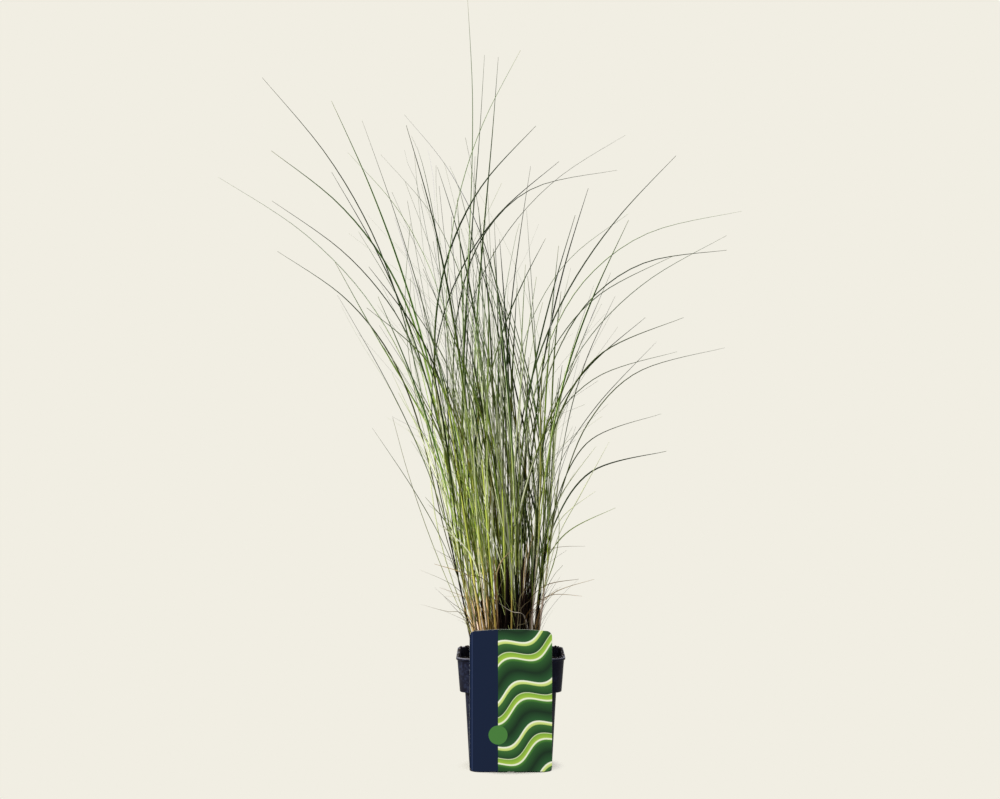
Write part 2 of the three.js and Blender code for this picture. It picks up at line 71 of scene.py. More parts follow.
def live(sockets, name=None):
    """The first socket in use, of that name if one is given."""
    return next(s for s in sockets if s.enabled and name in (None, s.name))


def give(made, inputs):
    """Gives a node's sockets, by name or number, a value, a hex colour, a socket or a node to read."""
    for name, value in inputs.items():
        socket = made.inputs[name] if isinstance(name, int) else live(made.inputs, name)
        if isinstance(value, bpy.types.Node):
            value = live(value.outputs)
        if isinstance(value, bpy.types.NodeSocket):
            made.id_data.links.new(value, socket)
        else:
            socket.default_value = colour(value) if str(value).startswith("#") else value
    return made


def node(tree, kind, inputs=None, **settings):
    """Adds a node with its settings and what its inputs are given."""
    made = tree.nodes.new(kind)
    for name, value in settings.items():
        setattr(made, name, value)
    return give(made, inputs or {})


def calc(tree, operation, *values, **settings):
    """Arithmetic on up to three numbers."""
    return node(tree, "ShaderNodeMath", dict(enumerate(values)), operation=operation, **settings)


def vector_calc(tree, operation, *values):
    """Arithmetic on vectors."""
    return node(tree, "ShaderNodeVectorMath", dict(enumerate(values)), operation=operation)


def scaled(tree, vector, by):
    """A vector times a number."""
    return node(tree, "ShaderNodeVectorMath", {0: vector, "Scale": by}, operation="SCALE")


def remap(tree, value, span=(0, 1), wanted=(0, 1), smooth=False):
    """Carries the range span over to the range wanted, and holds beyond its ends."""
    return node(tree, "ShaderNodeMapRange", {
        "Value": value, "From Min": span[0], "From Max": span[1], "To Min": wanted[0], "To Max": wanted[1],
    }, interpolation_type="SMOOTHSTEP" if smooth else "LINEAR")


def blend(tree, share, low, high):
    """Mixes two colours, low where the share is 0 and high where it is 1."""
    return node(tree, "ShaderNodeMix", {0: share, 6: low, 7: high}, data_type="RGBA")


def ramp(tree, share, stops):
    """Turns a share into a colour, by stops of a place from 0 to 1 and a hex colour."""
    made = node(tree, "ShaderNodeValToRGB", {"Fac": share})
    elements = made.color_ramp.elements
    while len(elements) > 1:
        elements.remove(elements[-1])
    for i, (place, code) in enumerate(stops):
        stop = elements[0] if i == 0 else elements.new(place)
        stop.position = place
        stop.color = colour(code)
    return made


def speckle(tree, where, size, detail, roughness=0.5):
    """Noise whose largest grains measure about size."""
    return node(tree, "ShaderNodeTexNoise", {
        "Vector": where, "Scale": 1 / size, "Detail": detail, "Roughness": roughness,
    }).outputs["Fac"]


def bumpy(tree, height, depth, strength):
    """A relief that rises by depth."""
    return node(tree, "ShaderNodeBump", {"Strength": strength, "Distance": depth, "Height": height})


def field(tree, name):
    """A number stored on the mesh, for a material."""
    return node(tree, "ShaderNodeAttribute", attribute_name=name).outputs["Fac"]


def stored(tree, geometry, name, value, kind="FLOAT", domain="POINT"):
    """Writes a value on the points of the geometry, or on its instances."""
    return node(tree, "GeometryNodeStoreNamedAttribute", {
        "Geometry": geometry, "Name": name, "Value": value,
    }, data_type=kind, domain=domain)


def new_material(name):
    """An empty node material: itself, its tree, its surface shader and the place on the object."""
    material = bpy.data.materials.new(name)
    material.use_nodes = True
    tree = material.node_tree
    tree.nodes.clear()
    shader = node(tree, "ShaderNodeBsdfPrincipled")
    node(tree, "ShaderNodeOutputMaterial", {"Surface": shader})
    return material, tree, shader, node(tree, "ShaderNodeTexCoord").outputs["Object"]


def new_tree(title, sizes):
    """A tree that works on geometry, with named sizes: itself and its inputs."""
    tree = bpy.data.node_groups.new(title, "GeometryNodeTree")
    tree.interface.new_socket("Geometry", in_out="INPUT", socket_type="NodeSocketGeometry")
    for name, kind, value in sizes:
        socket = tree.interface.new_socket(name, in_out="INPUT", socket_type="NodeSocket" + kind)
        if value is not None:
            socket.default_value = value
    tree.interface.new_socket("Geometry", in_out="OUTPUT", socket_type="NodeSocketGeometry")
    return tree, node(tree, "NodeGroupInput").outputs


def placed(name, data):
    """A new object in the scene."""
    made = bpy.data.objects.new(name, data)
    bpy.context.scene.collection.objects.link(made)
    return made


def smoothed(piece):
    """Shades a piece's faces as one flowing surface."""
    for face in piece.data.polygons:
        face.use_smooth = True


def dress(piece, slot, *stands_for):
    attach(piece, "root")
    if stands_for:
        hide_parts(*stands_for)


# %% [markdown]
# ## Studio
# The photographer stood about two metres off, level with the middle of the clump, with a long lens. The
# studio is a cream one: a soft key light from the upper left, a weak fill from the right, a light behind
# and an even cream glow all round. The floor is a wide disc that thins out to nothing close round the
# pot, so that it keeps the contact shadow and meets the backdrop with no horizon from any side.

# %% Camera
EYE = Vector((-10.8, -2150, 375)) * MM
LENS = 75.5

camera_data = bpy.data.cameras.new("camera")
camera_data.lens = LENS
camera_data.sensor_width = 36
camera = placed("camera", camera_data)
camera.location = EYE
camera.rotation_euler = (math.radians(90), 0, 0)
bpy.context.scene.camera = camera
bpy.context.scene.view_settings.view_transform = "Standard"

# %% Backdrop and lights
CREAM = "#f1eee3"
GLOW = 0.37
AIM = Vector((0, 0, 330)) * MM
LIGHTS = (
    ("key", (-1900, -1100, 1500), 700, 100, "#fffbf2"),
    ("fill", (1900, -1500, 900), 1200, 6, "#dfe6ff"),
    ("rim", (900, 1900, 1500), 900, 30, "#f4f2ff"),
)

world = bpy.data.worlds.new("cream studio")
bpy.context.scene.world = world
world.use_nodes = True
world.node_tree.nodes.clear()
seen = node(world.node_tree, "ShaderNodeLightPath").outputs["Is Camera Ray"]
strength = remap(world.node_tree, seen, (0, 1), (GLOW, 1.0))
glow = node(world.node_tree, "ShaderNodeBackground", {"Color": CREAM, "Strength": strength})
node(world.node_tree, "ShaderNodeOutputWorld", {"Surface": glow})

for name, place, size, power, tint in LIGHTS:
    data = bpy.data.lights.new(name, "AREA")
    data.shape = "DISK"
    data.size = size * MM
    data.energy = power
    data.color = colour(tint)[:3]
    lamp = placed(name, data)
    lamp.location = Vector(place) * MM
    lamp.rotation_euler = (AIM - lamp.location).to_track_quat("-Z", "Y").to_euler()
    lamp.visible_camera = False

# %% Floor
FLOOR_RADIUS = 2600 * MM
FADE_FROM, FADE_TO = 30 * MM, 58 * MM

floor_paint, tree, shader, where = new_material("pale matt paper floor")
give(shader, {"Base Color": "#dad9d2", "Roughness": 0.95, "Specular IOR Level": 0.1})
away = vector_calc(tree, "LENGTH", where).outputs["Value"]
thin = remap(tree, away, (FADE_FROM, FADE_TO), smooth=True)
clear = node(tree, "ShaderNodeBsdfTransparent")
mixed = node(tree, "ShaderNodeMixShader", {0: thin, 1: shader, 2: clear})
give(tree.nodes["Material Output"], {"Surface": mixed})

bpy.ops.mesh.primitive_circle_add(vertices=96, radius=FLOOR_RADIUS, fill_type="NGON")
floor = bpy.context.object
floor.name = "studio_floor"
floor.data.materials.append(floor_paint)

# %% [markdown]
# ## Reading the grass
# Each stem in the frame is one plain solid: a five-sided tube with blades that are a chain of
# three-cornered rings, two margins and a keel, ending in one corner at the tip. A finer blade must run
# where the plain one does, so the chain is read back: start at a corner that has just three neighbours,
# step to the ring that they make, and go on ring by ring until the blade meets the stem.

# %% Corners and neighbours
STEM_NODES = sorted(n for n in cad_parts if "_stem_" in n)
SAME_PLACE = 0.01 * MM
SHORTEST_STEP = 8 * MM
DEEPEST_DROOP = 40 * MM


def corners_of(name):
    """The places of a node's corners, each once, and for each corner the set of its neighbours."""
    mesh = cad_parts[name].data
    number, places, own = {}, [], []
    for vertex in mesh.vertices:
        key = tuple(round(c / SAME_PLACE) for c in vertex.co)
        if key not in number:
            number[key] = len(places)
            places.append(vertex.co.copy())
        own.append(number[key])
    near = [set() for _ in places]
    for edge in mesh.edges:
        a, b = (own[i] for i in edge.vertices)
        if a != b:
            near[a].add(b)
            near[b].add(a)
    return places, near


def is_ring(near, corners):
    """Three corners, each a neighbour of the other two."""
    return len(corners) == 3 and all(corners - {c} <= near[c] for c in corners)


def chains_in(places, near):
    """Every blade as its tip, its rings from the tip down, and the place where it meets the stem."""
    chains = []
    for tip, around in enumerate(near):
        if not is_ring(near, around):
            continue
        if min((places[c] - places[tip]).length for c in around) < SHORTEST_STEP:
            continue
        rings, passed, ring = [], {tip}, around
        while is_ring(near, ring):
            rings.append(sorted(ring))
            passed |= ring
            ring = set().union(*(near[c] for c in ring)) - passed
        root = sum((places[c] for c in ring), Vector()) / len(ring)
        if len(rings) > 1 and root.z < places[tip].z + DEEPEST_DROOP:
            chains.append((places[tip], rings, root))
    return chains


# %% Stem axis and blade sections
STEM_RADIUS = 1.8 * MM
STEM_TIP_RADIUS = 0.6 * MM
ON_AXIS = 1.05 * STEM_RADIUS
SLIM_FOOT, SLIM_TIP = 0.66, 1.6
ROOT_SHARE, ROOT_SUNK = 0.85, 0.6
TIP_HALF = 0.2 * MM


def axis_of(places):
    """A stem's foot, direction and length, from its five lowest corners and those beside its axis."""
    foot_ring = sorted(places, key=lambda p: p.z)[:5]
    foot = sum(foot_ring, Vector()) / 5
    across = (foot_ring[1] - foot_ring[0], foot_ring[2] - foot_ring[0])
    along = across[0].cross(across[1]).normalized()
    along = -along if along.z < 0 else along
    reach = 0
    for place in places:
        up = (place - foot).dot(along)
        if (place - foot - up * along).length < ON_AXIS:
            reach = max(reach, up)
    return foot, along, reach


def section(ring, across):
    """Middle, half width and up direction of a ring, whose margins lie along across, and that direction."""
    trials = []
    for keel in range(3):
        left, right = (ring[i] for i in range(3) if i != keel)
        side = (right - left).normalized()
        match = (right - left).length if across is None else abs(side.dot(across))
        trials.append((match, keel, left, right, side))
    _, keel, left, right, side = max(trials, key=lambda t: t[0])
    if across is not None and side.dot(across) < 0:
        side = -side
    middle = (left + right) / 2
    return middle, (right - left).length / 2, (middle - ring[keel]).normalized(), side


def blade_from(places, chain, foot, along):
    """A blade as sections from the stem out: place, half width and up direction of each.

    The solids' blades are thick bars, so the real width is a share of theirs that grows towards the tip.
    """
    tip, rings, root = chain
    sections, across = [], None
    for i, ring in enumerate(reversed(rings)):
        middle, half, up, across = section([places[c] for c in ring], across)
        slim = SLIM_FOOT + (SLIM_TIP - SLIM_FOOT) * i / len(rings)
        sections.append((middle, half * slim, up))
    on_axis = foot + (root - foot).dot(along) * along
    start = root.lerp(on_axis, ROOT_SUNK) if (root - on_axis).length < 3 * STEM_RADIUS else root
    first_half, first_up = sections[0][1], sections[0][2]
    sections.insert(0, (start, first_half * ROOT_SHARE, first_up))
    sections.append((tip, TIP_HALF, sections[-1][2]))
    return sections


clump = {}
for name in STEM_NODES:
    places, near = corners_of(name)
    foot, along, length = axis_of(places)
    blades = [blade_from(places, c, foot, along) for c in chains_in(places, near)]
    clump[name] = (foot, along, length, blades)
off_axis = []
for foot, along, length, blades in clump.values():
    for blade in blades:
        start = blade[0][0]
        off_axis.append((start - foot - (start - foot).dot(along) * along).length / MM)
print("stems:", len(clump), "blades:", sum(len(c[3]) for c in clump.values()))
print("furthest blade root from its axis, mm:", sorted(round(o, 1) for o in off_axis)[-12:])

# %% [markdown]
# ## One tree that grows a tiller
# A tiller is a tube of rolled sheaths with thin blades. Each blade could be modelled by hand or bent from
# a flat strip, but some three hundred of them follow one rule, so a Geometry Nodes tree sweeps them all:
# a smooth curve through the sections read above, a lens-shaped profile carried along it, and then a fold
# along the middle that opens from a tight clasp at the stem to a shallow channel further out. The tubes
# are swept by the same tree with a round profile.

# %% Sweep tree


def tiller_tree():
    """Sweeps blades and tubes along paths whose points carry rolled, half_width and up."""
    tree, given = new_tree("sweep a tiller", (
        ("Sections", "Int", 30),
        ("Profile Points", "Int", 8),
        ("Tube Points", "Int", 10),
        ("Leaf Thickness", "Float", 0.17),
        ("Midrib", "Float", 0.9),
        ("Clasp", "Float", 0.9),
        ("Channel", "Float", 0.38),
        ("Blade Material", "Material", None),
        ("Sheath Material", "Material", None),
    ))
    rolled = node(tree, "GeometryNodeInputNamedAttribute", {"Name": "rolled"}, data_type="BOOLEAN")
    half = node(tree, "GeometryNodeInputNamedAttribute", {"Name": "half_width"}, data_type="FLOAT")
    up = node(tree, "GeometryNodeInputNamedAttribute", {"Name": "up"}, data_type="FLOAT_VECTOR")
    parted = node(tree, "GeometryNodeSeparateGeometry", {
        "Geometry": given["Geometry"], "Selection": rolled,
    }, domain="POINT")

    # The blade's way: smooth through its sections, with its up direction kept square to it.
    ways = node(tree, "GeometryNodeMeshToCurve", {"Mesh": parted.outputs["Inverted"]})
    arched = node(tree, "GeometryNodeCurveSplineType", {"Curve": ways}, spline_type="CATMULL_ROM")
    even = node(tree, "GeometryNodeResampleCurve", {
        "Curve": arched, "Count": given["Sections"],
    }, mode="COUNT")
    tangent = node(tree, "GeometryNodeInputTangent")
    lean = vector_calc(tree, "DOT_PRODUCT", up, tangent)
    along_way = scaled(tree, tangent, lean.outputs["Value"])
    square = vector_calc(tree, "SUBTRACT", up, along_way)
    upright = vector_calc(tree, "NORMALIZE", square)
    kept = stored(tree, even, "up", upright, "FLOAT_VECTOR")
    turned = node(tree, "GeometryNodeSetCurveNormal", {"Curve": kept, "Normal": up}, mode="FREE")
    length = node(tree, "GeometryNodeSplineParameter").outputs["Factor"]
    marked = stored(tree, turned, "along", length)

    # The blade's profile: a lens with a thicker midrib under its middle.
    ring = node(tree, "GeometryNodeCurvePrimitiveCircle", {
        "Resolution": given["Profile Points"], "Radius": 1.0,
    }, mode="RADIUS")
    place = node(tree, "ShaderNodeSeparateXYZ", {0: node(tree, "GeometryNodeInputPosition")})
    signed = stored(tree, ring, "across", place.outputs["X"])
    middle = calc(tree, "ABSOLUTE", place.outputs["X"])
    below = remap(tree, place.outputs["Y"], (0.0, -1.0), (0, given["Midrib"]))
    under = remap(tree, middle, (0.0, 0.4), (below, 0.0))
    swell = calc(tree, "ADD", under, 1.0)
    thick = calc(tree, "MULTIPLY", swell, given["Leaf Thickness"])
    flat = calc(tree, "MULTIPLY", place.outputs["Y"], thick)
    lens_place = node(tree, "ShaderNodeCombineXYZ", {"X": flat, "Y": place.outputs["X"]})
    lens = node(tree, "GeometryNodeSetPosition", {"Geometry": signed, "Position": lens_place})
    strips = node(tree, "GeometryNodeCurveToMesh", {
        "Curve": marked, "Profile Curve": lens, "Scale": half, "Fill Caps": True,
    })

    # The fold: the margins rise over the midrib, most where the blade clasps the stem.
    across = node(tree, "GeometryNodeInputNamedAttribute", {"Name": "across"}, data_type="FLOAT")
    along = node(tree, "GeometryNodeInputNamedAttribute", {"Name": "along"}, data_type="FLOAT")
    depth = remap(tree, along, (0, 0.16), (given["Clasp"], given["Channel"]), smooth=True)
    edge = calc(tree, "POWER", across, 2.0)
    rise = calc(tree, "MULTIPLY", edge, depth)
    lift = calc(tree, "MULTIPLY", rise, half)
    offset = scaled(tree, up, lift)
    folded = node(tree, "GeometryNodeSetPosition", {"Geometry": strips, "Offset": offset})

    # The tube of sheaths.
    stalk = node(tree, "GeometryNodeMeshToCurve", {"Mesh": parted.outputs["Selection"]})
    circle = node(tree, "GeometryNodeCurvePrimitiveCircle", {
        "Resolution": given["Tube Points"], "Radius": 1.0,
    }, mode="RADIUS")
    tubes = node(tree, "GeometryNodeCurveToMesh", {
        "Curve": stalk, "Profile Curve": circle, "Scale": half, "Fill Caps": True,
    })

    joined = node(tree, "GeometryNodeJoinGeometry")
    tree.links.new(live(folded.outputs), joined.inputs[0])
    tree.links.new(live(tubes.outputs), joined.inputs[0])
    smooth = node(tree, "GeometryNodeSetShadeSmooth", {"Geometry": joined})
    real = node(tree, "GeometryNodeRealizeInstances", {"Geometry": smooth})
    leafed = node(tree, "GeometryNodeSetMaterial", {"Geometry": real, "Material": given["Blade Material"]})
    sheathed = node(tree, "GeometryNodeSetMaterial", {
        "Geometry": leafed, "Selection": rolled, "Material": given["Sheath Material"],
    })
    node(tree, "NodeGroupOutput", {"Geometry": sheathed})
    return tree


def grow(name, start, tree, sizes):
    """Runs a tree over a mesh and keeps what comes out as a plain mesh object at the origin."""
    holder = placed(name + " paths", start)
    modifier = holder.modifiers.new("grow", "NODES")
    modifier.node_group = tree
    for socket in tree.interface.items_tree:
        if socket.in_out == "INPUT" and socket.name in sizes:
            modifier[socket.identifier] = sizes[socket.name]
    evaluated = holder.evaluated_get(bpy.context.evaluated_depsgraph_get())
    mesh = bpy.data.meshes.new_from_object(evaluated)
    holder.modifiers.remove(modifier)
    bpy.data.objects.remove(holder)
    bpy.data.meshes.remove(start)
    mesh.name = name
    return placed(name, mesh)


TILLER_TREE = tiller_tree()

# %% [markdown]
# ## Leaf blade
# The blade of this grass is grey-green with a white line down each margin and a pale midrib. Low in the
# clump some blades are a fresh yellow-green, some nearly white and a few straw, and the last few
# centimetres of each fade to straw. The white lines are about a quarter of a millimetre wide, too fine to
# show from two metres, so they are drawn wider. Four attributes carry the pattern: across the blade, along
# it, and a tint and a painted shade that differ from blade to blade. A shaded blade is painted dark and
# rich in colour, as shade, and its white lines don't show. Low in the clump the colour is painted darker in
# the core, as shade, and lighter at its flanks, as light that comes through. Fine veins run the whole
# length as a little bump.

# %% Blade material
VEIN_WIDTH = 0.35 * MM
LEAF_IOR = 1.42
YOUNG_FOOT, YOUNG_TOP, YOUNG_MOST = 290 * MM, 480 * MM, 0.9
YOUNG_TINTS, OLD_TINTS, OLD_MOST = (0.55, 0.42), (0.84, 0.96), 0.85
PALE_SHARE = 0.26
# Painted shade in the core of the clump, low down, and painted light at its flanks.
CORE_X, CORE_HALF, CORE_REACH = 4 * MM, 8 * MM, 44 * MM
LIT_VALUE, CORE_SHADE_VALUE, BRIGHTEST = 1.5, 0.66, 1.08
SHADED_VALUE, SHADED_STRENGTH = 0.08, 1.5
MARGIN_FROM, MARGIN_BLUR = (0.46, 0.74), 0.15
RIB_HALF, RIB_MOST = (0.12, 0.02), 0.4


def blade_material(name, ways, young, margins, midrib, straw, roughness):
    """Leaf coloured along its length by ways. young has two colours for low fresh blades, the pale one
    first, margins one for low down and one for above, and straw is the colour of the oldest."""
    material, tree, shader, where = new_material(name)
    across, along, tint, shade = (field(tree, label) for label in ("across", "along", "tint", "shade"))
    apart = node(tree, "ShaderNodeSeparateXYZ", {0: where}).outputs
    low = remap(tree, apart["Z"], (YOUNG_TOP, YOUNG_FOOT), (0, YOUNG_MOST))

    hue = remap(tree, tint, (0, 1), (0.475, 0.525))
    varied = node(tree, "ShaderNodeHueSaturation", {"Hue": hue, "Color": ramp(tree, along, ways)})
    youth = calc(tree, "MULTIPLY", low, remap(tree, tint, YOUNG_TINTS))
    pale_young, green_young = young
    youngs = ramp(tree, tint, (
        (0.0, pale_young), (PALE_SHARE - 0.02, pale_young), (PALE_SHARE + 0.04, green_young),
    ))
    fresher = blend(tree, youth, varied, youngs)
    old = calc(tree, "MULTIPLY", remap(tree, tint, OLD_TINTS, (0, OLD_MOST)), low)
    strawy = blend(tree, old, fresher, straw)

    # Painted shade and light: low in the clump the colour is darker near the core and lighter at the flanks.
    off_core = calc(tree, "ABSOLUTE", calc(tree, "SUBTRACT", apart["X"], CORE_X))
    inside = remap(tree, off_core, (CORE_HALF, CORE_REACH), (CORE_SHADE_VALUE, LIT_VALUE), smooth=True)
    less = calc(tree, "SUBTRACT", inside, 1.0)
    light_here = calc(tree, "MULTIPLY_ADD", less, low, 1.0)
    # Painted shade: a blade's shade darkens its colour and deepens it.
    lit = calc(tree, "MULTIPLY", remap(tree, shade, (0, 1), (1, SHADED_VALUE)), light_here)
    green = node(tree, "ShaderNodeHueSaturation", {
        "Saturation": remap(tree, shade, (0, 1), (1, SHADED_STRENGTH)),
        "Value": calc(tree, "MINIMUM", lit, BRIGHTEST),
        "Color": strawy,
    })

    side = calc(tree, "ABSOLUTE", across)
    ribbed = blend(tree, remap(tree, side, RIB_HALF, (0, RIB_MOST), smooth=True), green, midrib)
    inner = remap(tree, along, (0.3, 0.7), MARGIN_FROM)
    at_edge = remap(tree, side, (inner, calc(tree, "ADD", inner, MARGIN_BLUR)), smooth=True)
    # The white lines fade where a blade is painted shaded, and in the painted shade of the core.
    pale = remap(tree, shade, (0, 1), (1, 0))
    kept = calc(tree, "MULTIPLY", pale, light_here, use_clamp=True)
    low_margin, high_margin = margins
    margin = blend(tree, low, high_margin, low_margin)
    edged = blend(tree, calc(tree, "MULTIPLY", at_edge, kept), ribbed, margin)

    veins = node(tree, "ShaderNodeTexWave", {
        "Vector": node(tree, "ShaderNodeCombineXYZ", {"X": across}), "Scale": 4.0,
    })
    give(shader, {
        "Base Color": edged, "Normal": bumpy(tree, veins.outputs["Fac"], VEIN_WIDTH / 3, 0.35),
        "Roughness": roughness, "IOR": LEAF_IOR, "Specular IOR Level": 0.15,
    })
    return material


GREEN_WAYS = (
    (0.0, "#aeba4c"),
    (0.2, "#8aa240"),
    (0.4, "#4c7824"),
    (0.62, "#274a1a"),
    (0.94, "#2a401f"),
    (1.0, "#6d6a48"),
)
fresh_blade = blade_material(
    "variegated grass blade", GREEN_WAYS, ("#f4f7dc", "#a8c44a"), ("#e8f4ae", "#cfe8ae"),
    "#86a244", "#c4a244", 0.5,
)

DRY_WAYS = (
    (0.0, "#80603c"),
    (0.5, "#b8946a"),
    (1.0, "#98805f"),
)
withered_blade = blade_material(
    "withered grass blade", DRY_WAYS, ("#d9c39a", "#b79a68"), ("#c9ad86", "#c9ad86"),
    "#b08f62", "#e2d3bd", 0.8,
)

# Near-black remains: partly rotted sheaths, partly painted shade in the core.
ROTTED_AND_SHADE_WAYS = (
    (0.0, "#0c0706"),
    (0.6, "#1a100e"),
    (1.0, "#33241c"),
)
rotted_and_shade_blade = blade_material(
    "rotted grass blade", ROTTED_AND_SHADE_WAYS, ("#3c2c24", "#2a1c16"), ("#3c2c26", "#3c2c26"),
    "#1a100e", "#6a5444", 0.85,
)

WISP_WAYS = (
    (0.0, "#3a3026"),
    (0.6, "#46402f"),
    (1.0, "#7d7763"),
)
wisp_blade = blade_material(
    "dry grass wisp", WISP_WAYS, ("#857a62", "#574d3c"), ("#8f8770", "#8f8770"),
    "#5a503c", "#cdbfa6", 0.8,
)

PAPERY_WAYS = (
    (0.0, "#cfbfa6"),
    (1.0, "#efe2d6"),
)
papery_blade = blade_material(
    "papery grass blade", PAPERY_WAYS, ("#efe2d6", "#e2d3bf"), ("#f6eee6", "#f6eee6"),
    "#d6c4b0", "#efe2d6", 0.7,
)

# Painted sheen: a silvery lilac grey, as the sky's sheen on a few blades.
SHEEN_WAYS = (
    (0.0, "#b9c48c"),
    (0.4, "#c3c6bd"),
    (1.0, "#bdb8cc"),
)
sheen_painted_blade = blade_material(
    "bleached grass blade", SHEEN_WAYS, ("#e6ead6", "#d3dcb4"), ("#f0f0f4", "#f0f0f4"),
    "#a9a6b8", "#d8cba8", 0.5,
)

# %% [markdown]
# ## Leaf sheath
# Sheaths are rolled one in another round the young stem. They are smooth, finely ribbed and a little
# shiny, yellow-green in the light and tan to red brown at the foot, where the oldest have dried. The
# change of colour follows the height over the soil, so the material reads the object coordinates, and
# patches of noise make it ragged. Ribs are long thin streaks of noise, stretched along the stem. A shade
# attribute darkens the sheath as painted shade.

# %% Sheath material
SOIL_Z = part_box("potting_mix")[1].z
SHEATH_TURN, RAGGED = 110 * MM, 45 * MM
TINT_SHIFT = (-20 * MM, 45 * MM)
RIB_VALUES, SHADE_VALUES = (0.65, 1.25), (1.1, 0.25)


def sheath_material(name, foot, middle, top, roughness, shine):
    """Rolled sheath that turns from one colour at the soil to another higher up."""
    material, tree, shader, where = new_material(name)
    height = node(tree, "ShaderNodeSeparateXYZ", {0: where}).outputs["Z"]
    tint, shade = field(tree, "tint"), field(tree, "shade")
    stretch = node(tree, "ShaderNodeMapping", {"Vector": where, "Scale": (1, 1, 0.03)})
    streaks = speckle(tree, stretch, 2.5 * MM, 3.0)
    patches = speckle(tree, where, 20 * MM, 2.0)
    moved = calc(tree, "ADD", height, remap(tree, patches, (0, 1), (-RAGGED, RAGGED)))
    level = calc(tree, "SUBTRACT", moved, remap(tree, tint, (0, 1), TINT_SHIFT))
    climb = remap(tree, level, (SOIL_Z, SOIL_Z + SHEATH_TURN))
    ways = ramp(tree, climb, ((0.0, foot), (0.28, foot), (0.55, middle), (1.0, top)))
    lined = remap(tree, streaks, (0.3, 0.7), RIB_VALUES)
    # Painted shade: the shade attribute darkens the sheath.
    value = calc(tree, "MULTIPLY", lined, remap(tree, shade, (0, 1), SHADE_VALUES))
    give(shader, {
        "Base Color": node(tree, "ShaderNodeHueSaturation", {"Value": value, "Color": ways}),
        "Normal": bumpy(tree, streaks, 0.15 * MM, 0.4),
        "Roughness": roughness, "IOR": LEAF_IOR, "Specular IOR Level": shine,
    })
    return material


# %% [markdown]
# ## Tillers
# Every stem of the frame becomes one finished tiller. Its sheaths give the tube a small step where each
# blade leaves, because a sheath is thicker than what comes out of it, and the tube ends in the rolled
# point of the youngest leaf. A seeded draw gives each blade its tint and a painted shade. Blades that reach
# to the right are more often painted dark, as shade, since the light falls from the left. Where a stem
# stands decides which sheaths it wears.

# %% Grow the tillers
SHEATH_STEP, STEP_LENGTH, LEAST_GAP = 0.28 * MM, 1 * MM, 4 * MM
TAPER = 0.7
SPEAR, SPEAR_POINT = 16 * MM, 0.1 * MM
SIDE_REACH = 120 * MM
STRAW_REACH, STRAW_CUT = 30 * MM, 0.83
SHEATH_SIDE_SHADE, SHEATH_SPREAD = 0.35, 0.3
# Painted shade: how often a blade is drawn dark, and how dark, growing to the right.
DARK_LEFT, DARK_MORE = 0.34, 0.62
DARK_SHADE, LIT_SHADE, SHADE_SPREAD, PALE_SHADE = 0.74, 0.1, 0.25, 0.15
LEFT_END, MIDDLE_END, CORE_END = -14 * MM, 2 * MM, 14 * MM
LIT_FRONT, CORE_FRONT = 6 * MM, -18 * MM
GIRTH = {"golden": 0.82, "lime": 0.85, "dusky": 0.6, "papery": 0.7}
# Sheath kinds: the golden ones are partly dried ochre and partly painted light, where the light falls from
# the left; the near-black ones are painted shade among the stems.
SHEATHS = {
    "golden": sheath_material("golden leaf sheath", "#d2b084", "#c8b468", "#b8c456", 0.42, 0.4),
    "lime": sheath_material("fresh leaf sheath", "#a08c46", "#b0bc4c", "#c2d45c", 0.42, 0.4),
    "dusky": sheath_material("shaded leaf sheath", "#0c0605", "#170f0a", "#232e14", 0.7, 0.06),
    "papery": sheath_material("papery leaf sheath", "#e6cfc0", "#e4d8c0", "#c2c69e", 0.6, 0.3),
    "withered": sheath_material("withered leaf sheath", "#2c1a12", "#6d5230", "#96744a", 0.75, 0.1),
}
draws = np.random.default_rng(SEED)


def tube_rings(foot, along, length, blades, girth):
    """The tube as (distance along the stem, radius): it tapers, and steps in where each blade leaves."""
    leaves = sorted((blade[0][0] - foot).dot(along) for blade in blades)
    rings = [(0, girth * STEM_RADIUS)]
    for leave in leaves:
        if leave > rings[-1][0] + LEAST_GAP and leave < length:
            share = (leave / length) ** TAPER
            radius = girth * STEM_RADIUS * (1 - share) + STEM_TIP_RADIUS * share
            rings.append((leave - STEP_LENGTH, radius + SHEATH_STEP / 2))
            rings.append((leave, radius - SHEATH_STEP / 2))
    rings.append((length, STEM_TIP_RADIUS))
    rings.append((length + 0.5 * SPEAR, 0.6 * STEM_TIP_RADIUS))
    rings.append((length + SPEAR, SPEAR_POINT))
    return rings


def path_mesh(name, paths):
    """A mesh of open paths. Each is (rolled, tint, shade, sections)."""
    points, edges, fields = [], [], {"half_width": [], "up": [], "tint": [], "shade": [], "rolled": []}
    for rolled, tint, shade, sections in paths:
        for i, (place, half, up) in enumerate(sections):
            if i:
                edges.append((len(points) - 1, len(points)))
            points.append(place)
            fields["half_width"].append(half)
            fields["up"].extend(up)
            fields["tint"].append(tint)
            fields["shade"].append(shade)
            fields["rolled"].append(rolled)
    mesh = bpy.data.meshes.new(name)
    mesh.from_pydata(points, edges, [])
    for label, values in fields.items():
        kind = {"up": "FLOAT_VECTOR", "rolled": "BOOLEAN"}.get(label, "FLOAT")
        data = mesh.attributes.new(label, kind, "POINT").data
        data.foreach_set("vector" if label == "up" else "value", values)
    return mesh


def sweep(name, paths, blade, sheath, sizes=None):
    """Grows one piece from paths, in a blade and a sheath material, with other sizes than the tree's own."""
    return grow(name, path_mesh(name, paths), TILLER_TREE, {
        **(sizes or {}), "Blade Material": blade, "Sheath Material": sheath,
    })


def side_shade(x):
    """How much painted shade a place gives: 0 for what reaches far left, 1 for far right."""
    return min(1, max(0, 0.5 + 0.5 * x / SIDE_REACH))


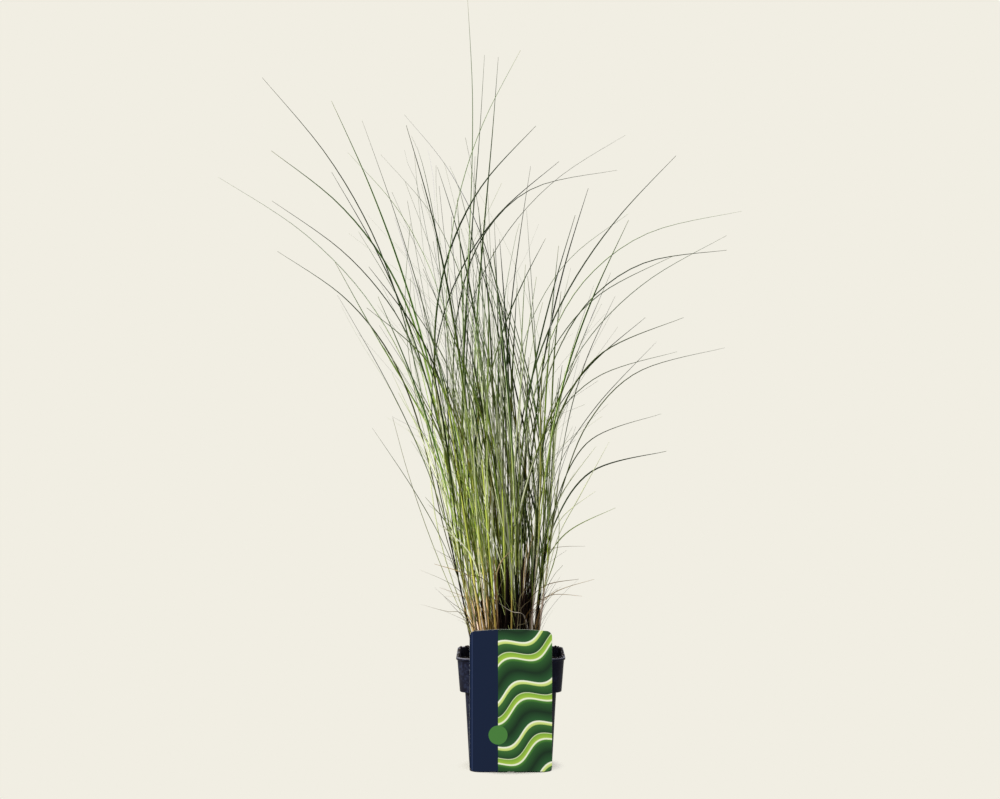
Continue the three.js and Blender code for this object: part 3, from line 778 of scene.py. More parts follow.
def tint_and_shade(x):
    """A blade's draws: those to the right are seldom straw, and more often painted dark, as shade, than
    those to the left.
    """
    tint = draws.random() * (1 if x < STRAW_REACH else STRAW_CUT)
    if tint < PALE_SHARE:
        return tint, PALE_SHADE * draws.random()
    dark = draws.random() < DARK_LEFT + DARK_MORE * side_shade(x)
    return tint, (DARK_SHADE if dark else LIT_SHADE) + SHADE_SPREAD * draws.random()


def sheath_kind(foot, chance):
    """Which sheath a stem wears, from left to right: gold, partly painted light, or papery; lime or gold at
    the front of the middle, near-black as painted shade behind and beside it, and papery or near-black on
    the right."""
    if foot.x < LEFT_END:
        return "golden" if chance < 0.6 else "papery" if chance < 0.85 else "dusky"
    if foot.x < MIDDLE_END:
        return ("lime" if chance < 0.6 else "golden") if foot.y < LIT_FRONT and chance < 0.85 else "dusky"
    if foot.x < CORE_END:
        return "lime" if foot.y < CORE_FRONT and chance < 0.4 else "dusky"
    return "papery" if chance < 0.5 else "dusky"


triangles = 0
for name, (foot, along, length, blades) in clump.items():
    dry = name.startswith("dry")
    kind = "withered" if dry else sheath_kind(foot, draws.random())
    rings = tube_rings(foot, along, length, blades, GIRTH.get(kind, 1.0))
    tube = [(foot + up * along, radius, Vector((1, 0, 0))) for up, radius in rings]
    # Painted shade: tubes further right are painted darker, as the light falls from the left.
    tint, shade = draws.random(), SHEATH_SIDE_SHADE * side_shade(2 * foot.x) + SHEATH_SPREAD * draws.random()
    paths = [(True, tint, shade, tube)]
    for blade in blades:
        paths.append((False, *tint_and_shade(blade[-2][0].x), blade))
    piece_name = ("old_tiller_" if dry else "tiller_") + name[-2:]
    piece = sweep(piece_name, paths, withered_blade if dry else fresh_blade, SHEATHS[kind])
    dress(piece, "dry_leaf" if dry else "green_leaf", name)
    triangles += sum(len(polygon.vertices) - 2 for polygon in piece.data.polygons)
print("tillers:", len(clump), "triangles:", triangles)

# %% [markdown]
# ## Withered bits at the foot
# Round the foot of the clump sit papery remains of old sheaths, dark ones in the core that are partly
# rotted and partly painted shade, and thin dead leaf tips and a few papery leaves stick out between the
# stems. They are far too fine for the frame's solids, so they are made here. The same tree grows them: a
# husk is a short wide blade that hugs its stem, and a wisp is a very narrow one. The wisps and leaves that
# show most in the photograph run through points listed, in millimetres, and a seeded rule sets some more
# wisps all round.

# %% Husks and wisps
WISP_HALF, PAPERY_HALF = 0.42 * MM, 0.75 * MM
FACING = Vector((0, -0.5, 1))
WISPS_BY_HAND = (
    ((-20, -14, 106), (-39, -34, 147), (-45, -37, 152), (-71, -40, 164)),
    ((-18, -16, 106), (-38, -34, 145), (-53, -36, 161), (-67, -37, 176)),
    ((-22, -8, 106), (-41, -22, 152), (-62, -27, 171), (-77, -30, 185)),
    ((-26, -4, 106), (-45, -14, 154), (-66, -22, 160), (-91, -30, 168)),
    ((-14, -20, 110), (-37, -32, 187), (-50, -34, 203), (-71, -36, 220)),
    ((-26, 0, 108), (-48, -4, 172), (-64, -6, 188), (-93, -8, 201)),
    ((-24, -6, 110), (-48, -16, 201), (-66, -19, 216), (-81, -20, 225)),
    ((4, -26, 106), (8, -40, 160), (10, -41, 178), (23, -42, 190)),
    ((8, -28, 106), (10, -41, 158), (12, -42, 167), (24, -43, 176)),
    ((2, -27, 106), (6, -39, 144), (12, -41, 149), (20, -42, 152)),
    ((22, -6, 106), (30, -9, 156), (37, -10, 169), (53, -12, 186)),
    ((18, -22, 106), (15, -38, 150), (5, -41, 171), (-2, -42, 192)),
    ((-10, -30, 106), (-13, -42, 160), (-12, -43, 184), (8, -44, 230)),
)
PAPERY_BY_HAND = (
    ((18, -16, 136), (13, -38, 158), (1, -46, 162), (-12, -47, 171)),
    ((-30, -8, 106), (-37, -16, 150), (-43, -20, 182), (-52, -22, 212)),
)
RULED_WISPS = 22
WISP_START, WISP_RISE, WISP_REACH, WISP_BEND = (12, 30), (35, 110), (12, 55), (-14, 14)
HUSKS_A_STEM, THATCH_A_STEM = 2, 5
HUSK_TALL, THATCH_TALL, HUSK_BOW, HUSK_HALF = (25, 75), (25, 115), (0.5, 6), (1.1, 2.0)
THATCH_FROM, THATCH_TO = -9 * MM, 15 * MM


def tapered(points, half, up):
    """Sections through a list of points, widest a third of the way and fine at the tip."""
    last = len(points) - 1
    shares = [min(1, 0.7 + i / last) * (1 - (i / last) ** 3) + 0.12 for i in range(last + 1)]
    return [(point, half * share, up) for point, share in zip(points, shares)]


def through(stops):
    """Points given in millimetres, in metres."""
    return [Vector(stop) * MM for stop in stops]


def any_way():
    """A level direction drawn by chance."""
    turn = math.radians(draws.uniform(0, 360))
    return Vector((math.cos(turn), math.sin(turn), 0))


wisps = []
for stops in WISPS_BY_HAND:
    tint, shade = draws.random(), 0.2 + 0.5 * draws.random()
    wisps.append((False, tint, shade, tapered(through(stops), WISP_HALF, FACING)))
for _ in range(RULED_WISPS):
    out = any_way()
    start = out * draws.uniform(*WISP_START) * MM + Vector((0, 0, SOIL_Z))
    rise, reach = draws.uniform(*WISP_RISE) * MM, draws.uniform(*WISP_REACH) * MM
    bend = out.cross(Vector((0, 0, 1))) * draws.uniform(*WISP_BEND) * MM
    points = []
    for s in (0, 0.3, 0.65, 1):
        points.append(start + out * reach * s ** 1.8 + bend * s ** 2 + Vector((0, 0, rise * s ** 0.8)))
    wisps.append((False, draws.random(), draws.random(), tapered(points, WISP_HALF, out)))
papery = []
for stops in PAPERY_BY_HAND:
    papery.append((False, draws.random(), 0.1, tapered(through(stops), PAPERY_HALF, FACING)))
for name, paths, paint in (("dry_wisps", wisps, wisp_blade), ("papery_leaves", papery, papery_blade)):
    piece = sweep(name, paths, paint, SHEATHS["withered"], {"Sections": 14, "Profile Points": 6})
    dress(piece, "dry_leaf")

husks, thatch = [], []
for foot, along, _, _ in clump.values():
    # Stems in the core get more and darker remains, partly painted shade.
    shaded = THATCH_FROM < foot.x < THATCH_TO
    for _ in range(THATCH_A_STEM if shaded else HUSKS_A_STEM):
        side = any_way()
        side = (side - side.dot(along) * along).normalized()
        tall = draws.uniform(*(THATCH_TALL if shaded else HUSK_TALL)) * MM
        bow = draws.uniform(*HUSK_BOW) * MM
        buried = (SOIL_Z - foot.z) / along.z - 2 * MM
        points = [
            foot + along * (buried + tall * s) + side * (STEM_RADIUS * 0.75 + bow * s ** 3)
            for s in (0, 0.35, 0.7, 1)
        ]
        half = draws.uniform(*HUSK_HALF) * MM
        made = (False, draws.random(), draws.random(), tapered(points, half, -side))
        (thatch if shaded else husks).append(made)
for name, paths, paint in (("dry_husks", husks, withered_blade), ("rotted_thatch", thatch, rotted_and_shade_blade)):
    piece = sweep(name, paths, paint, SHEATHS["withered"], {
        "Sections": 12, "Clasp": 1.0, "Channel": 0.7, "Leaf Thickness": 0.09,
    })
    dress(piece, "dry_leaf")
print("wisps:", len(wisps), "husks:", len(husks), "thatch:", len(thatch))

# %% [markdown]
# ## Fine blades
# Many blades of this grass are hardly a millimetre wide, too fine for the frame's solids. They lean and
# cross between the broader ones, which gives the middle of the clump its mesh of dark and pale lines. The
# same tree sweeps them. Those that stand out in the photograph follow points listed, in millimetres, from
# tip to root. A seeded rule leads the others from a stem in an arc to a tip, most of them on the left side
# and the others on the right, and sets some short ones low in the middle. The arcs are a little more often
# painted dark, as shade. A few blades are painted a silvery lilac grey, as sheen.

# %% Fine blades
FINE_HALF = 0.55 * MM
FINE_BY_HAND = (
    ((-107, -40, 626), (-101, -38, 603), (-93, -35, 584), (-50, -18, 354)),
    ((-103, 30, 649), (-96, 28, 634), (-88, 26, 606), (-78, 22, 554), (-72, 18, 500), (-52, 8, 330)),
    ((-75, -45, 610), (-75, -44, 586), (-73, -42, 560), (-70, -38, 519), (-62, -30, 436), (-46, -14, 300)),
    ((-73, -10, 593), (-65, -10, 519), (-54, -8, 436), (-40, -4, 310)),
    ((-46, -20, 641), (-40, -22, 611), (-34, -22, 575), (-31, -20, 547), (-28, -16, 456), (-24, -8, 320)),
    ((-63, 15, 616), (-57, 14, 603), (-51, 12, 585), (-35, 8, 518), (-23, 4, 436), (-14, 2, 300)),
    ((-170, -50, 469), (-152, -46, 435), (-129, -38, 398), (-117, -34, 376), (-83, -24, 303),
     (-50, -12, 200)),
    ((-171, 20, 498), (-156, 18, 471), (-136, 14, 436), (-113, 10, 403), (-78, 4, 333), (-44, 0, 230)),
    ((-101, -30, 498), (-102, -30, 454), (-95, -28, 395), (-72, -20, 292), (-50, -12, 210)),
    ((-39, -40, 542), (-45, -40, 516), (-47, -38, 495), (-48, -34, 436), (-45, -26, 354), (-36, -16, 250)),
    ((-37, 10, 525), (-31, 9, 513), (-15, 6, 487), (-3, 2, 446), (1, 0, 375), (0, -2, 280)),
    ((28, -50, 551), (12, -46, 513), (-11, -40, 477), (-31, -34, 436), (-43, -26, 385), (-46, -18, 300)),
    ((9, -20, 554), (5, -20, 539), (-6, -18, 477), (-13, -14, 395), (-16, -8, 290)),
    ((-21, -55, 456), (-12, -50, 415), (-7, -42, 344), (-4, -30, 250)),
    ((-9, -60, 477), (-10, -52, 415), (-10, -40, 330), (-6, -26, 230)),
)
# Blades painted with sheen, from tip to root.
SHEEN_STOPS = (
    ((-83, -60, 625), (-78, -56, 600), (-76, -52, 567), (-72, -44, 477), (-54, -28, 340)),
    ((-118, -20, 560), (-108, -20, 530), (-92, -18, 470), (-66, -12, 360)),
    ((-60, -30, 560), (-58, -30, 520), (-50, -26, 430), (-38, -16, 300)),
    ((52, -40, 520), (44, -38, 480), (36, -30, 400), (26, -18, 270)),
    ((86, -20, 470), (70, -20, 420), (48, -14, 320), (32, -8, 220)),
)
RULED_FINE, RULED_SHORT = 84, 30
LEAVES_AT, FINE_SHARES, SHORT_SHARES = (0.25, 0.9), (0.6, 1.2), (0.5, 1.0)
TIP_LOWEST, LEAST_CLIMB = 320 * MM, 70 * MM
TIP_SIDES = (  # middle and spread of the tips, and the highest
    (-72 * MM, 40 * MM, 650 * MM),
    (68 * MM, 34 * MM, 480 * MM),
)
LEFT_SHARE = 0.8
DEPTH_KEPT, DEPTH_SPREAD = 0.4, 38 * MM
BOW_SIDE, BOW_DEPTH = 0.1, 0.06
SHORT_FROM, SHORT_SPAN = -12 * MM, (40, 110)
SHORT_SIDE, SHORT_DEPTH = (-0.1, 0.42), (0, 0.25)
FACE_FORWARD, MORE_SHADE = 60 * MM, 20 * MM


def arc_points(start, way, end, count=5):
    """Points on the arc that leaves start along way and ends at end."""
    steps = [i / (count - 1) for i in range(count)]
    return [(1 - s) ** 2 * start + 2 * s * (1 - s) * way + s * s * end for s in steps]


def fine_blade(points, half):
    """A narrow blade from its root to its tip, its upper side turned to the sky."""
    last = len(points) - 1
    out = points[-1] - points[0]
    up = Vector((-out.x, -out.y - FACE_FORWARD, out.length)).normalized()
    return [(point, max(TIP_HALF, half * (1 - (i / last) ** 3)), up) for i, point in enumerate(points)]


fine, sheen_painted = [], []
for group, routes in ((fine, FINE_BY_HAND), (sheen_painted, SHEEN_STOPS)):
    for stops in routes:
        points = through(reversed(stops))
        group.append((False, *tint_and_shade(points[-1].x), fine_blade(points, FINE_HALF)))
green_stems = [stem[:3] for name, stem in clump.items() if not name.startswith("dry")]
for _ in range(RULED_FINE):
    foot, along, length = green_stems[draws.integers(len(green_stems))]
    start = foot + along * draws.uniform(*LEAVES_AT) * length
    middle, spread, highest = TIP_SIDES[0 if draws.random() < LEFT_SHARE else 1]
    top = max(draws.uniform(TIP_LOWEST, highest), start.z + LEAST_CLIMB)
    end = Vector((draws.normal(middle, spread), DEPTH_KEPT * start.y + draws.normal(0, DEPTH_SPREAD), top))
    span = (end - start).length
    bow = Vector((draws.normal(0, BOW_SIDE), draws.normal(0, BOW_DEPTH), 0)) * span
    points = arc_points(start, start + along * span * 0.5 + bow, end)
    half = FINE_HALF * draws.uniform(*FINE_SHARES)
    fine.append((False, *tint_and_shade(end.x + MORE_SHADE), fine_blade(points, half)))
central_stems = [stem for stem in green_stems if stem[0].x > SHORT_FROM]
for _ in range(RULED_SHORT):
    foot, along, length = central_stems[draws.integers(len(central_stems))]
    start = foot + along * draws.uniform(*LEAVES_AT) * length
    span = draws.uniform(*SHORT_SPAN) * MM
    aside = Vector((draws.normal(*SHORT_SIDE), draws.normal(*SHORT_DEPTH), 0)) * span
    points = arc_points(start, start + along * span * 0.6, start + along * span * 0.9 + aside)
    half = FINE_HALF * draws.uniform(*SHORT_SHARES)
    fine.append((False, *tint_and_shade(start.x), fine_blade(points, half)))
for name, paths, paint in (
    ("fine_blades", fine, fresh_blade),
    ("bleached_blades", sheen_painted, sheen_painted_blade),
):
    piece = sweep(name, paths, paint, SHEATHS["lime"], {"Sections": 22, "Profile Points": 6})
    dress(piece, "green_leaf")
print("fine blades:", len(fine), "bleached:", len(sheen_painted))

# %% [markdown]
# ## Pot
# The nursery pot is one injection-moulded shell of black polypropylene, square with round corners, with a
# deeper collar under its lip. A box with bevels could stand in for it, but the wall has to be thin and
# tapered, so one outline of the wall is drawn from the middle of the base, up the outside, over the lip
# and down the inside, each of its corners is rounded a little, and rounded squares are lofted along it.
# The drain holes and the grooves beside them are cut with a Boolean.

# %% Pot shell
POT_LOW, POT_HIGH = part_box("pot")
LIP_WIDTH = POT_HIGH.x - POT_LOW.x
POT_HEIGHT = POT_HIGH.z
COLLAR_TOP_WIDTH, COLLAR_FOOT_WIDTH = 107.5 * MM, 102.5 * MM
BODY_TOP_WIDTH, BASE_WIDTH = 92 * MM, 83 * MM
COLLAR_FOOT_Z, LIP_DEPTH, WALL, FLOOR_THICK = 80.5 * MM, 3 * MM, 1.5 * MM, 2.4 * MM
CORNER_SHARE, CORNER_POINTS, EDGE_RADIUS = 0.15, 10, 0.9 * MM
MIDDLE_WIDTH = BASE_WIDTH - 24 * MM
DRAIN_RADIUS, DRAIN_INSET, DRAIN_DEPTH = 4 * MM, 11 * MM, 12 * MM
GROOVE_WIDTH, GROOVE_DEPTH = 7 * MM, 1 * MM


def between(start, end, share):
    """What lies a share of the way from start to end."""
    return start + (end - start) * share


def cavity_width(z):
    """Width of the pot's inside at a height."""
    if z <= COLLAR_FOOT_Z:
        return between(BASE_WIDTH, BODY_TOP_WIDTH, z / COLLAR_FOOT_Z) - 2 * WALL
    up_collar = (z - COLLAR_FOOT_Z) / (POT_HEIGHT - COLLAR_FOOT_Z)
    collar = between(COLLAR_FOOT_WIDTH, COLLAR_TOP_WIDTH, up_collar) - 2 * WALL
    return between(BODY_TOP_WIDTH - 2 * WALL, collar, min(1, (z - COLLAR_FOOT_Z) / (2 * WALL)))


def rounded_square(width, z):
    """A level ring round a square with round corners, anticlockwise."""
    radius = CORNER_SHARE * width
    reach = width / 2 - radius
    ring = []
    for corner, (side_x, side_y) in enumerate(((1, 1), (-1, 1), (-1, -1), (1, -1))):
        for i in range(CORNER_POINTS):
            turn = math.radians(90 * (corner + i / (CORNER_POINTS - 1)))
            ring.append(Vector((
                side_x * reach + radius * math.cos(turn),
                side_y * reach + radius * math.sin(turn),
                z,
            )))
    return ring


def eased(outline, radius, steps=4):
    """An outline of (width, height) points with each inner corner turned into a small arc."""
    made = [outline[0]]
    for before, here, after in zip(outline, outline[1:], outline[2:]):
        corner, back, on = Vector(here), Vector(before) - Vector(here), Vector(after) - Vector(here)
        cut = min(radius, 0.45 * back.length, 0.45 * on.length)
        start, end = corner + cut * back.normalized(), corner + cut * on.normalized()
        for i in range(steps + 1):
            s = i / steps
            made.append(tuple((1 - s) ** 2 * start + 2 * s * (1 - s) * corner + s * s * end))
    return made + [outline[-1]]


def made_from(name, body):
    """Turns a bmesh into a piece in the scene."""
    bmesh.ops.recalc_face_normals(body, faces=body.faces)
    mesh = bpy.data.meshes.new(name)
    body.to_mesh(mesh)
    body.free()
    return placed(name, mesh)


def loft(name, rings):
    """A closed body through rings of equal numbers of points, with flat ends."""
    body = bmesh.new()
    rows = [[body.verts.new(point) for point in ring] for ring in rings]
    count = len(rows[0])
    for low, high in zip(rows, rows[1:]):
        for i in range(count):
            j = (i + 1) % count
            body.faces.new((low[i], low[j], high[j], high[i]))
    body.faces.new(list(reversed(rows[0])))
    body.faces.new(rows[-1])
    return made_from(name, body)


def baked(piece):
    """Applies a piece's modifiers."""
    evaluated = piece.evaluated_get(bpy.context.evaluated_depsgraph_get())
    mesh = bpy.data.meshes.new_from_object(evaluated)
    piece.modifiers.clear()
    piece.data = mesh
    mesh.name = piece.name


wall = eased([
    (MIDDLE_WIDTH, 0.0),
    (BASE_WIDTH, 0.0),
    (BODY_TOP_WIDTH, COLLAR_FOOT_Z),
    (COLLAR_FOOT_WIDTH, COLLAR_FOOT_Z + 0.5 * MM),
    (COLLAR_TOP_WIDTH, POT_HEIGHT - LIP_DEPTH),
    (LIP_WIDTH, POT_HEIGHT - LIP_DEPTH + 0.5 * MM),
    (LIP_WIDTH, POT_HEIGHT),
    (cavity_width(POT_HEIGHT), POT_HEIGHT),
    (cavity_width(COLLAR_FOOT_Z + 2 * WALL), COLLAR_FOOT_Z + 2 * WALL),
    (cavity_width(COLLAR_FOOT_Z), COLLAR_FOOT_Z),
    (cavity_width(FLOOR_THICK), FLOOR_THICK),
    (MIDDLE_WIDTH, FLOOR_THICK),
], EDGE_RADIUS)
pot = loft("nursery_pot", [rounded_square(width, z) for width, z in wall])

holes, grooves = bmesh.new(), bmesh.new()
reach, groove_length = BASE_WIDTH / 2 - DRAIN_INSET, DRAIN_INSET + 2 * WALL
for i in (-1, 0, 1):
    for j in (-1, 0, 1):
        if i or j:
            hole = bmesh.ops.create_cone(
                holes, cap_ends=True, segments=24, depth=DRAIN_DEPTH,
                radius1=DRAIN_RADIUS, radius2=DRAIN_RADIUS,
            )
            bmesh.ops.translate(holes, verts=hole["verts"], vec=(i * reach, j * reach, 0))
        if abs(i) + abs(j) == 1:
            sides = [groove_length if along_it else GROOVE_WIDTH for along_it in (i, j)]
            out = reach + groove_length / 2
            groove = bmesh.ops.create_cube(grooves, size=1.0)
            bmesh.ops.scale(grooves, verts=groove["verts"], vec=(*sides, 2 * GROOVE_DEPTH))
            bmesh.ops.translate(grooves, verts=groove["verts"], vec=(i * out, j * out, 0))
cutters = []
for title, form in (("drain holes", holes), ("drain grooves", grooves)):
    cutter = made_from(title, form)
    cut = pot.modifiers.new(title, "BOOLEAN")
    cut.object = cutter
    cut.solver = "EXACT"
    cutters.append(cutter)
baked(pot)
for cutter in cutters:
    bpy.data.objects.remove(cutter)
smoothed(pot)
even = pot.modifiers.new("flat faces stay flat", "WEIGHTED_NORMAL")
even.keep_sharp = True
print("pot:", len(pot.data.polygons), "faces")

# %% [markdown]
# ## Black polypropylene
# A nursery pot is moulded from recycled black polypropylene: a satin black with a cold violet cast, not a
# true black. Its skin has a faint grain from the steel of the mould, about half a millimetre across, and
# it picks up pale dust and dried splashes in clouds. The top of the lip is painted a pale grey highlight.

# %% Pot material
RIM_HIGHLIGHT_FROM, RIM_HIGHLIGHT_TO, RIM_HIGHLIGHT_MOST = POT_HEIGHT - 1.1 * MM, POT_HEIGHT - 0.5 * MM, 0.75

material, tree, shader, where = new_material("moulded black polypropylene")
cloud = speckle(tree, where, 28 * MM, 5.0, 0.6)
dusty = calc(tree, "MULTIPLY", cloud, speckle(tree, where, 2.2 * MM, 4.0))
dust = remap(tree, dusty, (0.2, 0.42), (0, 0.65), smooth=True)
skin = blend(tree, dust, "#0c0c18", "#2f3750")
height = node(tree, "ShaderNodeSeparateXYZ", {0: where}).outputs["Z"]
# Painted highlight: a pale grey line along the top edge of the lip, broken up a little by the dust.
rim_highlight = remap(tree, height, (RIM_HIGHLIGHT_FROM, RIM_HIGHLIGHT_TO), (0, RIM_HIGHLIGHT_MOST))
rim_highlight_dusted = calc(tree, "MULTIPLY_ADD", rim_highlight, dusty, 0.35)
rim_highlight_share = calc(tree, "MULTIPLY", rim_highlight, rim_highlight_dusted)
give(shader, {
    "Base Color": blend(tree, rim_highlight_share, skin, "#9a9dae"),
    "Roughness": remap(tree, dusty, (0.15, 0.45), (0.34, 0.62)),
    "Normal": bumpy(tree, speckle(tree, where, 0.6 * MM, 2.0), 0.05 * MM, 0.25),
    "IOR": 1.49, "Specular IOR Level": 0.35, "Specular Tint": "#b4bcf0",
})
pot.data.materials.clear()
pot.data.materials.append(material)
dress(pot, "pot_plastic", "pot")

# %% [markdown]
# ## Potting mix
# The mix is moist peat with bits of bark and fibre. Its body is a lofted block with a lumpy top, whose
# heights come from two sizes of noise. Crumbs are what makes it read as soil, so a second tree scatters
# lumps over the top, each turned and stretched by a seeded draw, and then roughens them with noise taken
# in space, so that no two have the same shape. Crumbs spilled in potting lie all round the lip too, but
# for the front, where the card hangs.

# %% Peat block
MIX_RINGS = 26
LUMP = 1.3 * MM
CLEAR = 0.35 * MM


def mix_height(point):
    """Height of the soil's top over a place."""
    broad = noise.noise(Vector((point.x, point.y, 0)) / (14 * MM))
    fine = noise.noise(Vector((point.x, point.y, 5 * MM)) / (3.2 * MM))
    return LUMP * (broad + 0.5 * fine)


LEVELS = (FLOOR_THICK + CLEAR, COLLAR_FOOT_Z - CLEAR, COLLAR_FOOT_Z + 2 * WALL + CLEAR)
rings = [rounded_square(cavity_width(z) - 2 * CLEAR, z) for z in LEVELS]
top_width = cavity_width(SOIL_Z) - 2 * CLEAR
for i in range(MIX_RINGS):
    share = 1 - i / MIX_RINGS
    ring = rounded_square(top_width * share, SOIL_Z - 1.5 * MM * share ** 2)
    rings.append([point + Vector((0, 0, mix_height(point))) for point in ring])
mix = loft("peat_mix", rings)
smoothed(mix)

# %% Crumbs


def crumb_tree():
    """Scatters rough lumps over what faces up, out to Reach from the middle."""
    tree, given = new_tree("scatter crumbs", (
        ("Density", "Float", 90000.0),
        ("Reach", "Float", 48.0 * MM),
        ("Smallest", "Float", 0.5 * MM),
        ("Largest", "Float", 1.9 * MM),
        ("Stretch", "Vector", (1.0, 1.0, 1.0)),
        ("Roughness", "Float", 0.8 * MM),
        ("Seed", "Int", SEED),
        ("Material", "Material", None),
    ))
    facing = node(tree, "ShaderNodeSeparateXYZ", {0: node(tree, "GeometryNodeInputNormal")})
    level = node(tree, "FunctionNodeCompare", {0: facing.outputs["Z"], 1: 0.5}, operation="GREATER_THAN")
    spread = node(tree, "GeometryNodeDistributePointsOnFaces", {
        "Mesh": given["Geometry"], "Selection": level, "Density": given["Density"], "Seed": given["Seed"],
    }, distribute_method="RANDOM")
    at = node(tree, "ShaderNodeSeparateXYZ", {0: node(tree, "GeometryNodeInputPosition")})
    far_x = calc(tree, "ABSOLUTE", at.outputs["X"])
    far_y = calc(tree, "ABSOLUTE", at.outputs["Y"])
    far = calc(tree, "MAXIMUM", far_x, far_y)
    outside = node(tree, "FunctionNodeCompare", {0: far, 1: given["Reach"]}, operation="GREATER_THAN")
    spots = node(tree, "GeometryNodeDeleteGeometry", {
        "Geometry": spread.outputs["Points"], "Selection": outside,
    }, domain="POINT")
    lump = node(tree, "GeometryNodeMeshIcoSphere", {"Radius": 1.0, "Subdivisions": 2})
    turn = node(tree, "FunctionNodeRandomValue", {
        0: (0.0, 0.0, 0.0), 1: (math.tau, math.tau, math.tau), "Seed": given["Seed"],
    }, data_type="FLOAT_VECTOR")
    size = node(tree, "FunctionNodeRandomValue", {
        2: given["Smallest"], 3: given["Largest"], "Seed": given["Seed"],
    }, data_type="FLOAT")
    scale = scaled(tree, given["Stretch"], size.outputs[1])
    laid = node(tree, "GeometryNodeInstanceOnPoints", {
        "Points": spots, "Instance": lump.outputs["Mesh"], "Rotation": turn, "Scale": scale,
    })
    shades = node(tree, "FunctionNodeRandomValue", {"Seed": given["Seed"]}, data_type="FLOAT")
    tinted = stored(tree, laid, "tint", shades.outputs[1], "FLOAT", "INSTANCE")
    real = node(tree, "GeometryNodeRealizeInstances", {"Geometry": tinted})
    bumps = node(tree, "ShaderNodeTexNoise", {"Scale": 1 / (1.6 * MM), "Detail": 1.0})
    centred = vector_calc(tree, "SUBTRACT", bumps.outputs["Color"], (0.5, 0.5, 0.5))
    shift = scaled(tree, centred, given["Roughness"])
    rough = node(tree, "GeometryNodeSetPosition", {"Geometry": real, "Offset": shift})
    smooth = node(tree, "GeometryNodeSetShadeSmooth", {"Geometry": rough})
    painted = node(tree, "GeometryNodeSetMaterial", {"Geometry": smooth, "Material": given["Material"]})
    node(tree, "NodeGroupOutput", {"Geometry": painted})
    return tree


# %% Peat material
def peat(name, dark, light):
    """Moist peat: nearly black where damp, brown where it has dried, with no shine."""
    material, tree, shader, where = new_material(name)
    fine, broad = speckle(tree, where, 1.1 * MM, 4.0), speckle(tree, where, 9 * MM, 3.0)
    both = calc(tree, "MULTIPLY", fine, broad)
    dry = remap(tree, calc(tree, "MULTIPLY_ADD", field(tree, "tint"), 0.3, both), (0.2, 0.6))
    give(shader, {
        "Base Color": blend(tree, dry, dark, light),
        "Normal": bumpy(tree, fine, 0.4 * MM, 0.7), "Roughness": 0.92,
    })
    return material


# %% Soil pieces
LIP_TOP, LIP_INSET, INNER_INSET = POT_HEIGHT - 0.1 * MM, 1.3 * MM, 0.3 * MM
CRUMBS_FROM_Y = -0.49 * LIP_WIDTH + 2 * MM

peat_paint = peat("moist peat mix", "#0d0a0c", "#2e2524")
bark_paint = peat("bark fibre", "#2e211a", "#6d5848")
mix.data.materials.append(peat_paint)
CRUMB_TREE = crumb_tree()
crumbs = grow("peat_crumbs", mix.data.copy(), CRUMB_TREE, {"Material": peat_paint})
bits = grow("bark_bits", mix.data.copy(), CRUMB_TREE, {
    "Density": 9000.0, "Reach": 45 * MM, "Smallest": 1.5 * MM, "Largest": 4.5 * MM,
    "Stretch": (1.0, 0.16, 0.1), "Roughness": 0.5 * MM, "Seed": SEED + 1, "Material": bark_paint,
})
outer_ring = rounded_square(LIP_WIDTH - 2 * LIP_INSET, LIP_TOP)
inner_ring = rounded_square(cavity_width(POT_HEIGHT) + 2 * INNER_INSET, LIP_TOP)
count = len(outer_ring)
band = []
for i in range(count):
    j = (i + 1) % count
    if (outer_ring[i].y + outer_ring[j].y) / 2 > CRUMBS_FROM_Y:
        band.append((i, j, count + j, count + i))
rim = bpy.data.meshes.new("rim of the pot")
rim.from_pydata(outer_ring + inner_ring, [], band)
spilled = grow("spilled_crumbs", rim, CRUMB_TREE, {
    "Density": 260000.0, "Reach": LIP_WIDTH, "Smallest": 0.3 * MM, "Largest": 1.5 * MM,
    "Roughness": 0.5 * MM, "Seed": SEED + 2, "Material": peat_paint,
})
dress(mix, "potting_mix", "potting_mix")
for piece in (crumbs, bits, spilled):
    dress(piece, "potting_mix")
    print(piece.name, len(piece.data.polygons), "faces")

# %% [markdown]
# ## Picture card
# The card is a sheet of printed polypropylene, 0.8 mm thick, with rounded corners and a top edge that
# arches a little. A tongue at its back goes over the lip and down inside the pot. Card and tongue are two
# outlines, drawn flat and given their thickness with bmesh, then bevelled by a tenth of a millimetre so
# that the edges catch the light.

# %% Card shape
CARD_WIDTH = 82.5 * MM
CARD_BOTTOM, CARD_TOP = 3.5 * MM, 144 * MM
CARD_ARCH, CARD_CORNER, CARD_THICK = 1.6 * MM, 6 * MM, 0.8 * MM
CARD_BACK = -LIP_WIDTH / 2 - CLEAR
TONGUE_WIDTH, TONGUE_FOOT = 24 * MM, 92 * MM
TONGUE_BACK = -cavity_width(TONGUE_FOOT) / 2 + CLEAR
BRIDGE_TOP = POT_HEIGHT + CLEAR + CARD_THICK
CORNER_STEPS, ARCH_STEPS, EDGE_BEVEL = 8, 12, 0.12 * MM


